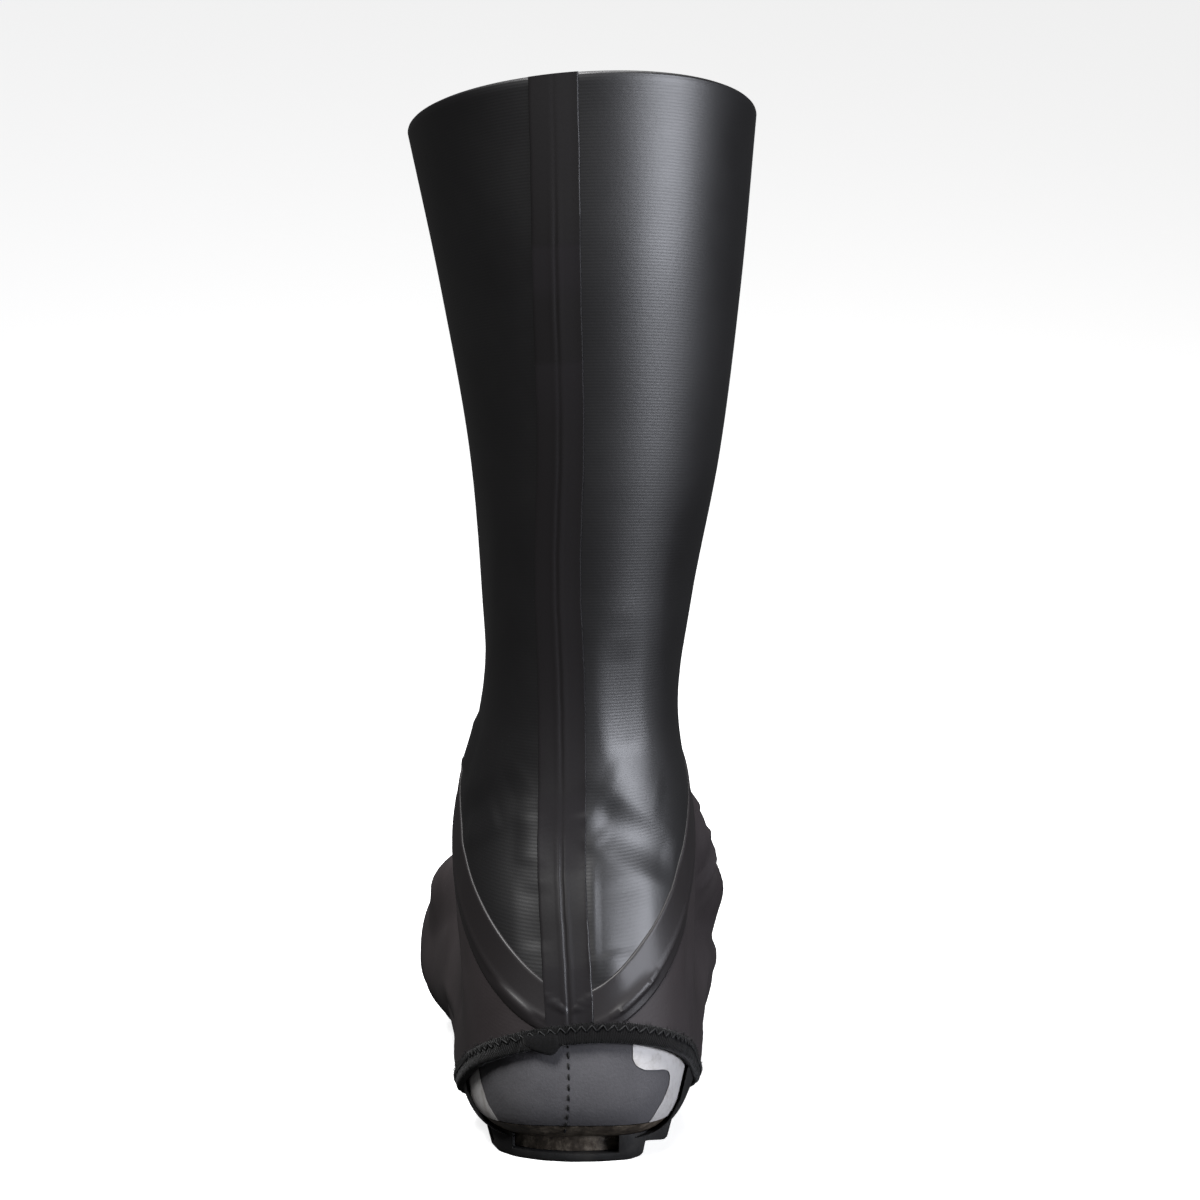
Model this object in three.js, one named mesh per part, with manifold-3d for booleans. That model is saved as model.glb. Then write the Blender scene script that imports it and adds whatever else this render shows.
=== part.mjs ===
// A calf-high rubberised cycling overshoe for the right foot, on the hollow cycling shoe that fills it.
// Millimetres. +Z is up, +Y runs to the toe, +X to the outer side of the foot.
// The origin is on the floor, under the middle of the heel pad.
import * as THREE from 'three';
import { mergeVertices } from 'three/addons/utils/BufferGeometryUtils.js';
import Module from 'manifold-3d';

const wasm = await Module();
wasm.setup();

// Driving sizes of the cover
const LENGTH = 292;          // heel to toe
const HEIGHT = 340;          // floor to the rim at the back
const ANKLE_HEIGHT = 142;    // floor to the narrowest ring
const COLLAR_WIDTH = 110.5;
const COLLAR_DEPTH = 117;    // front to back at the rim
const COLLAR_CANT = 7;       // the rim's outer side stands this much above its inner side
const ANKLE_WIDTH = 63.6;
const HEEL_WIDTH = 75.5;
const BALL_WIDTH = 102.5;
const WALL = 2;              // film, foam and lining together
const CLEARANCE = 0.3;       // between pieces that touch

// Seam tapes and the bound edge round the heel opening
const TAPE_WIDTH = 15.4;
const ANKLE_TAPE_WIDTH = 13.5;
const TAPE_THICKNESS = 0.6;
const TAPE_LIP = 1;          // the back tape stands this much above the rim
const BINDING_WIDTH = 6;
const BINDING_PROUD = 0.7;   // the binding stands this much outside the wall

// The shoe
const SHOE_WALL = 2.5;
const INSOLE_THICKNESS = 3;
const TRIM_THICKNESS = 0.9;
const HEEL_BLOCK_WIDTH = 52;
const HEEL_BLOCK_LENGTH = 54;
const PAD_WIDTH = 63;
const PAD_LENGTH = 60;
const PAD_THICKNESS = 2.7;
const LUG_HEIGHT = 12.5;     // the pad's lugs climb this high round the heel
const LUG_GAP = 7;           // the notch between two lugs
const TREAD_WIDTH = 46;
const TREAD_LENGTH = 66;
const CLEAT_MARGIN = 4;      // open ring between the tread and the cover's edge

const SEGMENTS = 24;         // facets round a section
const FULL_TURN = 2 * Math.PI;
const degrees = THREE.MathUtils.degToRad;

// The cover's sections run from the rim down the shaft, round the ankle and along the foot to the toe.
// A section is a flat ring between a front (or top) point and a back (or under) point.
// Y and Z are shares of the lengths and heights below; the widths are shares of the zone's own width.
const alongFoot = share => share * LENGTH;
const upFoot = share => share * ANKLE_HEIGHT;
const ZONES = {
  shaft: { y: share => share * COLLAR_DEPTH, z: upShaft, width: COLLAR_WIDTH },
  neck: { y: share => share * COLLAR_DEPTH, z: upShaft, width: ANKLE_WIDTH },
  heel: { y: alongFoot, z: upFoot, width: HEEL_WIDTH },
  foot: { y: alongFoot, z: upFoot, width: BALL_WIDTH },
};
const COLUMNS = ['frontY', 'frontZ', 'backY', 'backZ', 'middle', 'inner', 'outer', 'widest', 'lowPower', 'topPower'];
const SECTIONS = [
  ['shaft', 0.598, 0.859, -0.402, 1.000, 0.005, 0.493, 0.507, 0.50, 2.05, 2.0],
  ['shaft', 0.581, 0.626, -0.368, 0.717, 0.027, 0.422, 0.443, 0.50, 2.05, 2.0],
  ['shaft', 0.556, 0.384, -0.299, 0.434, 0.041, 0.356, 0.371, 0.48, 2.05, 2.0],
  ['neck', 0.521, 0.167, -0.231, 0.187, 0.047, 0.539, 0.531, 0.47, 2.05, 2.0],
  ['neck', 0.513, 0.000, -0.197, -0.005, 0.016, 0.508, 0.492, 0.45, 2.05, 2.0],
  ['heel', 0.223, 0.845, -0.089, 0.761, -0.007, 0.500, 0.481, 0.45, 2.1, 2.1],
  ['heel', 0.260, 0.754, -0.116, 0.549, -0.013, 0.524, 0.512, 0.44, 2.3, 2.2],
  ['heel', 0.305, 0.704, -0.134, 0.338, -0.007, 0.502, 0.502, 0.42, 2.6, 2.3],
  ['heel', 0.349, 0.669, -0.128, 0.120, 0.000, 0.502, 0.496, 0.42, 3.1, 2.5],
  ['heel', 0.394, 0.641, -0.068, 0.032, 0.000, 0.536, 0.516, 0.44, 3.6, 2.6],
  ['foot', 0.438, 0.606, 0.075, 0.049, 0.005, 0.449, 0.429, 0.46, 3.3, 2.7],
  ['foot', 0.493, 0.556, 0.223, 0.085, -0.005, 0.488, 0.459, 0.47, 3.0, 2.7],
  ['foot', 0.555, 0.500, 0.360, 0.070, -0.024, 0.527, 0.473, 0.45, 2.8, 2.6],
  ['foot', 0.623, 0.444, 0.497, 0.042, -0.049, 0.522, 0.488, 0.42, 2.8, 2.5],
  ['foot', 0.692, 0.387, 0.616, 0.042, -0.078, 0.459, 0.478, 0.40, 2.8, 2.4],
  ['foot', 0.760, 0.338, 0.719, 0.063, -0.107, 0.380, 0.420, 0.42, 2.8, 2.4],
  ['foot', 0.822, 0.282, 0.805, 0.106, -0.127, 0.273, 0.302, 0.45, 2.6, 2.4],
  ['foot', 0.853, 0.232, 0.846, 0.137, -0.135, 0.161, 0.176, 0.45, 2.4, 2.2],
  ['foot', 0.863, 0.197, 0.863, 0.169, -0.137, 0.049, 0.049, 0.50, 2.0, 2.0],
];
const TOE = SECTIONS.length - 1;

// Two soft swellings over the shoe's closure: from, to, reach and height.
// Their places are shares of the ball width, the length and the ankle height.
const SWELLINGS = [
  { from: [0.36, 0.164, 0.676], to: [0.42, 0.301, 0.500], reach: 0.234, height: 0.098 },
  { from: [-0.42, 0.315, 0.535], to: [-0.46, 0.404, 0.451], reach: 0.215, height: 0.044 },
];

function upShaft(share) {
  return ANKLE_HEIGHT + share * (HEIGHT - ANKLE_HEIGHT);
}

function sectionInMillimetres([zoneName, ...shares]) {
  const zone = ZONES[zoneName];
  const row = Object.fromEntries(COLUMNS.map((name, i) => [name, shares[i]]));
  row.frontY = zone.y(row.frontY);
  row.backY = zone.y(row.backY);
  row.frontZ = zone.z(row.frontZ);
  row.backZ = zone.z(row.backZ);
  for (const name of ['middle', 'inner', 'outer']) row[name] *= zone.width;
  return row;
}
const ROWS = SECTIONS.map(sectionInMillimetres);

// A smooth curve through a list of numbers; place 2.5 is halfway between the third and the fourth.
function smooth(values, place) {
  const last = values.length - 1;
  const at = THREE.MathUtils.clamp(place, 0, last);
  const i = Math.min(Math.floor(at), last - 1);
  const f = at - i;
  const b = values[i];
  const c = values[i + 1];
  const a = i > 0 ? values[i - 1] : 2 * b - c;
  const d = i < last - 1 ? values[i + 2] : 2 * c - b;
  return 0.5 * (2 * b + (c - a) * f + (2 * a - 5 * b + 4 * c - d) * f * f + (3 * b - a - 3 * c + d) * f ** 3);
}

const COLUMN_VALUES = Object.fromEntries(COLUMNS.map(name => [name, ROWS.map(row => row[name])]));
function sectionAt(place) {
  return Object.fromEntries(COLUMNS.map(name => [name, smooth(COLUMN_VALUES[name], place)]));
}

// The bare surface. An angle of 0 is the back of the leg and the underside of the foot, a quarter turn the
// outer side, half a turn the front.
function barePoint(place, angle) {
  const s = sectionAt(place);
  const c = Math.cos(angle);
  const side = Math.sin(angle);
  const power = c > 0 ? s.lowPower : s.topPower;
  const half = c > 0 ? s.widest : 1 - s.widest;
  const radius = (Math.abs(c) ** power + Math.abs(side) ** power) ** (-1 / power);
  const along = s.widest - half * c * radius;
  const across = (side > 0 ? s.outer : s.inner) * side * radius;
  const z = s.backZ + (s.frontZ - s.backZ) * along;
  const climb = THREE.MathUtils.clamp((z - ANKLE_HEIGHT) / (HEIGHT - ANKLE_HEIGHT), 0, 1) ** 3;
  return new THREE.Vector3(
    s.middle + across,
    s.backY + (s.frontY - s.backY) * along,
    z + COLLAR_CANT * climb * across / COLLAR_WIDTH,
  );
}

const PLACE_STEP = 1e-3;
const ANGLE_STEP = 2e-3;
function normalOf(surface, place, angle) {
  const ahead = Math.min(place + PLACE_STEP, TOE);
  const along = surface(ahead, angle).sub(surface(ahead - 2 * PLACE_STEP, angle));
  const around = surface(place, angle + ANGLE_STEP).sub(surface(place, angle - ANGLE_STEP));
  return along.cross(around).normalize();
}

function swellingAt(point) {
  let height = 0;
  for (const swelling of SWELLINGS) {
    const [from, to] = [swelling.from, swelling.to].map(
      ([x, y, z]) => new THREE.Vector3(x * BALL_WIDTH, y * LENGTH, z * ANKLE_HEIGHT));
    const nearest = new THREE.Line3(from, to).closestPointToPoint(point, true, new THREE.Vector3());
    const share = nearest.distanceTo(point) / (swelling.reach * BALL_WIDTH);
    height += swelling.height * BALL_WIDTH * Math.max(0, 1 - share * share) ** 2;
  }
  return height;
}

function coverPoint(place, angle) {
  const point = barePoint(place, angle);
  const height = swellingAt(point);
  return height > 0 ? point.addScaledVector(normalOf(barePoint, place, angle), height) : point;
}

// A point this far outside the cover's outer face, or inside it where the distance is negative.
// At the toe the rings are small, so a ring never shrinks to less than a third of itself.
const MOST_SHRINK = 0.66;
function offsetPoint(place, angle, distance) {
  const point = coverPoint(place, angle);
  const step = normalOf(coverPoint, place, angle).multiplyScalar(distance);
  const s = sectionAt(place);
  const centre = new THREE.Vector3(s.middle, (s.frontY + s.backY) / 2, (s.frontZ + s.backZ) / 2);
  const room = centre.distanceTo(point) * MOST_SHRINK;
  const sideways = new THREE.Vector3(step.x, 0, step.z);
  if (place > TOE - 3 && sideways.length() > room) {
    sideways.setLength(room);
    step.set(sideways.x, step.y, sideways.z);
  }
  return point.add(step);
}

// Closed meshes
function meshOf(points, faces) {
  const geometry = new THREE.BufferGeometry();
  geometry.setAttribute('position', new THREE.Float32BufferAttribute(points.flatMap(p => [p.x, p.y, p.z]), 3));
  geometry.setIndex(faces.flat());
  return geometry;
}

// The quads between one closed ring and the next, as triangles with their faces outward.
function bandFaces(first, second, count) {
  const faces = [];
  for (let j = 0; j < count; j++) {
    const k = (j + 1) % count;
    const [a, b, c, d] = [first + j, first + k, second + k, second + j];
    faces.push([a, c, b], [a, d, c]);
  }
  return faces;
}

function fanFaces(start, count, hub) {
  return Array.from({ length: count }, (_, j) => [hub, start + (j + 1) % count, start + j]);
}

const turned = faces => faces.map(([a, b, c]) => [a, c, b]);
const middleOf = ring => ring.reduce((sum, p) => sum.add(p), new THREE.Vector3()).divideScalar(ring.length);

// A solid through closed rings of points, each end closed by a fan to the ring's middle.
function loft(rings) {
  const count = rings[0].length;
  const points = rings.flat();
  const faces = rings.slice(1).flatMap((_, i) => bandFaces(i * count, (i + 1) * count, count));
  const firstHub = points.push(middleOf(rings[0])) - 1;
  const lastHub = points.push(middleOf(rings.at(-1))) - 1;
  faces.push(...turned(fanFaces(0, count, firstHub)));
  faces.push(...fanFaces((rings.length - 1) * count, count, lastHub));
  return meshOf(points, faces);
}

// A shell between two lofts with as many rings each. It is open at the first ring and closed at the last.
// Both faces split their quads along the same diagonals, so the wall is even.
function shell(outside, inside) {
  const count = outside[0].length;
  const half = outside.length * count;
  const points = [...outside, ...inside].flat();
  const bands = outside.slice(1).flatMap((_, i) => bandFaces(i * count, (i + 1) * count, count));
  const lastRing = half - count;
  const outerHub = points.push(middleOf(outside.at(-1))) - 1;
  const innerHub = points.push(middleOf(inside.at(-1))) - 1;
  const innerBands = turned(bands).map(face => face.map(i => i + half));
  return meshOf(points, [
    ...bands,
    ...innerBands,
    ...fanFaces(lastRing, count, outerHub),
    ...turned(fanFaces(lastRing + half, count, innerHub)),
    ...turned(bandFaces(0, half, count)),
  ]);
}

// A slab between two grids of points, closed round its four edges.
function slab(outer, inner) {
  const rows = outer.length;
  const across = outer[0].length;
  const ring = [];
  for (let i = 0; i < rows; i++) {
    ring.push([...outer[i], ...inner[i].slice().reverse()]);
  }
  const points = ring.flat();
  const count = 2 * across;
  const faces = [];
  for (let i = 0; i + 1 < rows; i++) {
    for (let j = 0; j < count; j++) {
      const k = (j + 1) % count;
      const [a, b, c, d] = [i * count + j, i * count + k, (i + 1) * count + k, (i + 1) * count + j];
      faces.push([a, c, b], [a, d, c]);
    }
  }
  for (let j = 0; j + 1 < across; j++) {
    const [a, b, c, d] = [j, j + 1, count - 2 - j, count - 1 - j];
    faces.push([a, b, c], [a, c, d]);
    const end = (rows - 1) * count;
    faces.push([end + c, end + b, end + a], [end + d, end + c, end + a]);
  }
  return meshOf(points, faces);
}

// Cuts and joins
function solid(geometry) {
  const bare = geometry.clone();
  bare.deleteAttribute('normal');
  bare.deleteAttribute('uv');
  const merged = mergeVertices(bare, 1e-5);
  return new wasm.Manifold(new wasm.Mesh({
    numProp: 3,
    vertProperties: new Float32Array(merged.attributes.position.array),
    triVerts: new Uint32Array(merged.index.array),
  }));
}

function geometryOf(body) {
  const mesh = body.getMesh();
  const geometry = new THREE.BufferGeometry();
  geometry.setAttribute('position', new THREE.Float32BufferAttribute(mesh.vertProperties, 3));
  geometry.setIndex(new THREE.BufferAttribute(new Uint32Array(mesh.triVerts), 1));
  return geometry;
}

// Rings of the cover at even steps between the sections, closer where the heel and the toe turn.
const RING_PLACES = [];
for (let place = 0; place < TOE - 4; place += 0.5) RING_PLACES.push(place);
for (let place = TOE - 4; place < TOE - 1; place += 0.5) RING_PLACES.push(place);
RING_PLACES.push(TOE - 1, TOE - 0.5, TOE);

function ringAt(place, distance) {
  const angles = Array.from({ length: SEGMENTS }, (_, i) => i * FULL_TURN / SEGMENTS);
  return angles.map(angle => offsetPoint(place, angle, distance));
}

function ringsFrom(start, distance) {
  const places = [start, ...RING_PLACES.filter(place => place > start + 0.1)];
  return places.map(place => ringAt(place, distance));
}

// The whole space inside the face at this distance, flat across its top.
function filled(start, distance) {
  return solid(loft(ringsFrom(start, distance)));
}

function hollow(start, outside, inside) {
  return solid(shell(ringsFrom(start, outside), ringsFrom(start, inside)));
}

// A prism with its profile in Y and Z, running across the foot.
const FAR = 2 * LENGTH;
function acrossFoot(profile) {
  const shape = new THREE.Shape(profile.map(([y, z]) => new THREE.Vector2(y, z)));
  const prism = new THREE.ExtrudeGeometry(shape, { depth: FAR, bevelEnabled: false });
  prism.translate(0, 0, -FAR / 2);
  prism.rotateX(Math.PI / 2);
  prism.rotateZ(Math.PI / 2);
  return prism;
}

// A rounded block standing on the floor: middle, size along X and Y, corner radius, foot and top.
function block(x, y, width, length, corner, low, high) {
  const w = width / 2;
  const l = length / 2;
  const shape = new THREE.Shape();
  shape.moveTo(-w + corner, -l);
  shape.lineTo(w - corner, -l);
  shape.absarc(w - corner, -l + corner, corner, -Math.PI / 2, 0, false);
  shape.absarc(w - corner, l - corner, corner, 0, Math.PI / 2, false);
  shape.absarc(-w + corner, l - corner, corner, Math.PI / 2, Math.PI, false);
  shape.absarc(-w + corner, -l + corner, corner, Math.PI, 1.5 * Math.PI, false);
  const prism = new THREE.ExtrudeGeometry(shape, { depth: high - low, bevelEnabled: false, curveSegments: 5 });
  return prism.translate(x, y, low);
}

// The edge of the heel opening seen from the side, from behind the heel forward and down under the foot.
const OPENING_EDGE = [[-0.20, 0.305], [-0.137, 0.292], [-0.075, 0.258], [0.010, 0.190], [0.080, 0.112], [0.125, 0.020],
  [0.145, -0.080]];
const OPENING_TILT = degrees(4);  // the edge is higher on the outer side
const EDGE_POINTS = 16;
function openingCutter(margin) {
  const curve = new THREE.SplineCurve(OPENING_EDGE.map(([y, z]) => new THREE.Vector2(alongFoot(y), upFoot(z))));
  const edge = Array.from({ length: EDGE_POINTS + 1 }, (_, i) => {
    const point = curve.getPoint(i / EDGE_POINTS);
    const tangent = curve.getTangent(i / EDGE_POINTS);
    return [point.x - tangent.y * margin, point.y + tangent.x * margin];
  });
  const under = [[edge.at(-1)[0], -upFoot(0.5)], [edge[0][0], -upFoot(0.5)]];
  return solid(acrossFoot([...edge, ...under]).rotateY(-OPENING_TILT));
}

// The line where the shoe's upper meets its sole, from the heel to the toe.
const SOLE_LINE = [[-0.20, 0.105], [-0.05, 0.087], [0.05, 0.090], [0.20, 0.125], [0.30, 0.125], [0.42, 0.098],
  [0.55, 0.095], [0.65, 0.108], [0.74, 0.142], [0.82, 0.190], [0.90, 0.275]];
function soleLine(lift) {
  const curve = new THREE.SplineCurve(SOLE_LINE.map(([y, z]) => new THREE.Vector2(alongFoot(y), upFoot(z) + lift)));
  return curve.getPoints(20).map(p => [p.x, p.y]);
}
function belowSoleLine(lift) {
  const line = soleLine(lift);
  return solid(acrossFoot([...line, [line.at(-1)[0], -upFoot(0.5)], [line[0][0], -upFoot(0.5)]]));
}

// The cleat opening and the plain tread in it, under the ball.
const TREAD_Y = alongFoot(0.50);
const TREAD_X = -0.035 * BALL_WIDTH;
const CLEAT_CORNER = 0.12 * BALL_WIDTH;
const COVER_UNDERSIDE_TOP = upFoot(0.14);
const WELL_BELOW_FLOOR = -upFoot(0.2);
function cleatCutter() {
  const width = TREAD_WIDTH + 2 * CLEAT_MARGIN;
  const length = TREAD_LENGTH + 2 * CLEAT_MARGIN;
  return solid(block(TREAD_X, TREAD_Y, width, length, CLEAT_CORNER, WELL_BELOW_FLOOR, COVER_UNDERSIDE_TOP));
}

// Depths below the cover's outer face
const COVER_INSIDE = -WALL;
const SHOE_OUTSIDE = COVER_INSIDE - CLEARANCE;
const SHOE_INSIDE = SHOE_OUTSIDE - SHOE_WALL;
const SHOE_MOUTH = 0.303 * TOE;  // the shoe's collar lies between the ankle's sections

function overshoeUpper() {
  return hollow(0, 0, COVER_INSIDE)
    .subtract(openingCutter(BINDING_WIDTH + CLEARANCE))
    .subtract(cleatCutter());
}

function heelBinding() {
  return hollow(SHOE_MOUTH, BINDING_PROUD, COVER_INSIDE)
    .intersect(openingCutter(BINDING_WIDTH))
    .subtract(openingCutter(0));
}

// Half a width across a surface, as a share of its own parameter.
const spanOf = (a, b, step) => a.distanceTo(b) / step;
function anglePerMillimetre(place, angle) {
  return 1 / spanOf(coverPoint(place, angle), coverPoint(place, angle + ANGLE_STEP), ANGLE_STEP);
}
function placePerMillimetre(place, angle) {
  return 1 / spanOf(coverPoint(place, angle), coverPoint(place + PLACE_STEP, angle), PLACE_STEP);
}

// The back tape wanders to the inner side of the leg: degrees off the back line at each section.
const BACK_TAPE_ANGLES = [-8.2, -11.3, -14.6, -15.6, -10.5, -6.8, -4.8, -2.8, -2.0];
const backTapeAngle = place => degrees(smooth(BACK_TAPE_ANGLES, place));
const TAPE_INSIDE = CLEARANCE;
const TAPE_OUTSIDE = CLEARANCE + TAPE_THICKNESS;
const TAPE_ACROSS = [-1, 0, 1];

// The skin that all the tapes are cut from, with a lip above the rim.
function tapeSkin() {
  const lipped = distance => {
    const rings = RING_PLACES.filter(place => place < TOE / 2).map(place => ringAt(place, distance));
    return [rings[0].map(point => point.clone().add(new THREE.Vector3(0, 0, TAPE_LIP))), ...rings];
  };
  return solid(shell(lipped(TAPE_OUTSIDE), lipped(TAPE_INSIDE)));
}
const allTapes = tapeSkin().subtract(openingCutter(BINDING_WIDTH + CLEARANCE));

// A thick strip between two lines on the surface; each row holds places and angles across the strip.
const STRIP_DEPTH = 4 * (CLEARANCE + TAPE_THICKNESS);
function strip(rows) {
  const grids = [STRIP_DEPTH, -STRIP_DEPTH / 2].map(distance =>
    rows.map(row => row.map(([place, angle]) => offsetPoint(place, angle, distance))));
  return grids;
}

function backTape() {
  const places = RING_PLACES.filter(place => place < TOE / 2 - 1);
  const rows = places.map(place => {
    const middle = backTapeAngle(place);
    const half = TAPE_WIDTH / 2 * anglePerMillimetre(place, middle);
    return TAPE_ACROSS.map(share => [place, middle + share * half]);
  });
  const grids = strip(rows);
  for (const grid of grids) {
    grid.unshift(grid[0].map(point => point.clone().add(new THREE.Vector3(0, 0, 2 * TAPE_LIP))));
  }
  return allTapes.intersect(solid(slab(...grids)));
}

// The ankle tape runs from the heel's middle up round the ankle to the front: section at each angle.
const ANKLE_TAPE_PLACES = [6.95, 6.75, 6.4, 5.93, 5.38, 4.92, 4.56, 4.26, 4.03, 3.88];
const ANKLE_TAPE_FACETS = 24;
function ankleTape(side) {
  const rows = Array.from({ length: ANKLE_TAPE_FACETS + 1 }, (_, i) => {
    const share = i / ANKLE_TAPE_FACETS;
    const turn = 180 * share;
    const middle = smooth(ANKLE_TAPE_PLACES, share * (ANKLE_TAPE_PLACES.length - 1));
    const halfWidth = ANKLE_TAPE_WIDTH / 2 * placePerMillimetre(middle, side * degrees(turn));
    return TAPE_ACROSS.map(across => {
      const place = middle + across * halfWidth;
      const edge = backTapeAngle(place);
      const start = edge + side * (TAPE_WIDTH / 2 + CLEARANCE) * anglePerMillimetre(place, edge);
      const stop = side * (Math.PI - CLEARANCE / 2 * anglePerMillimetre(place, Math.PI));
      return [place, start + (stop - start) * share];
    });
  });
  const [outer, inner] = strip(rows);
  return allTapes.intersect(solid(side > 0 ? slab(inner, outer) : slab(outer, inner)));
}

// White plates let into the sides of the heel counter. Their outline is seen from behind, as X and Z.
// X is a share of the heel width, Z of the ankle height.
const TRIM_OUTLINES = {
  lateral: [[0.225, 0.40], [0.225, 0.257], [0.275, 0.215], [0.362, 0.204], [0.385, 0.179], [0.370, 0.142],
    [0.325, 0.109], [0.270, 0.060], [0.80, 0.060], [0.80, 0.40]],
  medial: [[-0.424, 0.40], [-0.424, 0.204], [-0.410, 0.169], [-0.379, 0.129], [-0.344, 0.106], [-0.287, 0.060],
    [-0.80, 0.060], [-0.80, 0.40]],
};
const TRIM_REACH = alongFoot(0.02);
function trimPrism(outline, margin) {
  const middleX = outline[0][0] > 0 ? 1 : -1;
  const shape = new THREE.Shape(outline.map(([x, z]) =>
    new THREE.Vector2(x * HEEL_WIDTH - middleX * margin, upFoot(z))));
  const depth = FAR / 2;
  const prism = new THREE.ExtrudeGeometry(shape, { depth, bevelEnabled: false });
  prism.rotateX(Math.PI / 2);
  return prism.translate(0, TRIM_REACH + margin, 0);
}

const PLATE_TOP = 0;
const shoeCup = filled(SHOE_MOUTH, SHOE_OUTSIDE);

function shoeUpper() {
  let body = hollow(SHOE_MOUTH, SHOE_OUTSIDE, SHOE_INSIDE).subtract(belowSoleLine(PLATE_TOP + CLEARANCE));
  const pocketSkin = hollow(SHOE_MOUTH, SHOE_OUTSIDE + 1, SHOE_OUTSIDE - TRIM_THICKNESS - CLEARANCE);
  for (const outline of Object.values(TRIM_OUTLINES)) {
    body = body.subtract(pocketSkin.intersect(solid(trimPrism(outline, CLEARANCE))));
  }
  return body;
}

function heelTrim(outline) {
  return hollow(SHOE_MOUTH, SHOE_OUTSIDE, SHOE_OUTSIDE - TRIM_THICKNESS)
    .intersect(solid(trimPrism(outline, 0)))
    .subtract(belowSoleLine(PLATE_TOP + CLEARANCE));
}

const HEEL_BLOCK_FOOT = PAD_THICKNESS + CLEARANCE;
function heelBlock(margin, low) {
  const corner = 0.42 * HEEL_BLOCK_WIDTH;
  return solid(block(0, 0, HEEL_BLOCK_WIDTH + 2 * margin,
    HEEL_BLOCK_LENGTH + 2 * margin, corner, low, upFoot(0.1)));
}

function outsole() {
  const plate = shoeCup.intersect(belowSoleLine(PLATE_TOP));
  const lowerBlock = heelBlock(0, HEEL_BLOCK_FOOT).intersect(belowSoleLine(PLATE_TOP));
  return plate.add(lowerBlock);
}

function insole() {
  const low = PLATE_TOP + CLEARANCE;
  return filled(SHOE_MOUTH, SHOE_INSIDE - CLEARANCE)
    .intersect(belowSoleLine(low + INSOLE_THICKNESS))
    .subtract(belowSoleLine(low));
}

// A rubber pad under the heel. It climbs round the heel block as lugs with notches between them.
function heelPad() {
  const corner = 0.45 * PAD_WIDTH;
  const lowCorner = Math.min(corner, PAD_LENGTH / 2 - 1);
  let body = solid(block(0, 0, PAD_WIDTH, PAD_LENGTH, lowCorner, 0, LUG_HEIGHT))
    .subtract(filled(SHOE_MOUTH, COVER_INSIDE))
    .subtract(filled(SHOE_MOUTH, BINDING_PROUD + CLEARANCE).subtract(openingCutter(-CLEARANCE)))
    .subtract(heelBlock(CLEARANCE, PAD_THICKNESS));
  const notchTop = 2 * LUG_HEIGHT;
  const backNotchWidth = 0.66 * HEEL_BLOCK_WIDTH;
  body = body.subtract(solid(block(0, -PAD_LENGTH / 2, backNotchWidth, PAD_LENGTH / 2,
    1, PAD_THICKNESS, notchTop)));
  for (const share of [-0.12, 0.22]) {
    body = body.subtract(solid(block(0, share * PAD_LENGTH, 2 * PAD_WIDTH, LUG_GAP,
      1, PAD_THICKNESS, notchTop)));
  }
  return body;
}

function forefootTread() {
  const corner = CLEAT_CORNER - CLEAT_MARGIN;
  return solid(block(TREAD_X, TREAD_Y, TREAD_WIDTH, TREAD_LENGTH, corner, 0, upFoot(0.2)))
    .subtract(filled(SHOE_MOUTH, COVER_INSIDE));
}

function material(color, roughness, metalness = 0) {
  return new THREE.MeshStandardMaterial({ color, roughness, metalness });
}
const FILM = material('#211f22', 0.5);
const TAPE = material('#2a2729', 0.55);
const ELASTIC = material('#121213', 0.9);
const MICROFIBRE = material('#5b5a5d', 0.8);
const TRIM_PLASTIC = material('#c9c6c0', 0.45);
const SOLE_PLASTIC = material('#4b463f', 0.5);
const RUBBER = material('#161617', 0.85);
const FOAM = material('#2c2c30', 0.95);

const PIECES = [
  ['overshoe_upper', overshoeUpper(), FILM],
  ['seam_tape_back', backTape(), TAPE],
  ['seam_tape_ankle_lateral', ankleTape(1), TAPE],
  ['seam_tape_ankle_medial', ankleTape(-1), TAPE],
  ['heel_binding', heelBinding(), ELASTIC],
  ['shoe_upper', shoeUpper(), MICROFIBRE],
  ['heel_trim_lateral', heelTrim(TRIM_OUTLINES.lateral), TRIM_PLASTIC],
  ['heel_trim_medial', heelTrim(TRIM_OUTLINES.medial), TRIM_PLASTIC],
  ['insole', insole(), FOAM],
  ['outsole', outsole(), SOLE_PLASTIC],
  ['heel_pad', heelPad(), RUBBER],
  ['forefoot_tread', forefootTread(), RUBBER],
];

const overshoe = new THREE.Group();
for (const [name, body, finish] of PIECES) {
  const mesh = new THREE.Mesh(geometryOf(body), finish);
  mesh.name = name;
  overshoe.add(mesh);
}

export default overshoe;
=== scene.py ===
# %% [markdown]
# A calf-high rubberised overshoe for cycling, right foot, on the shoe that fills it.
# The frame comes first: it holds every solid at its real place, in metres, and each piece below is
# fitted to the same skin that those solids were made from.

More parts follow.
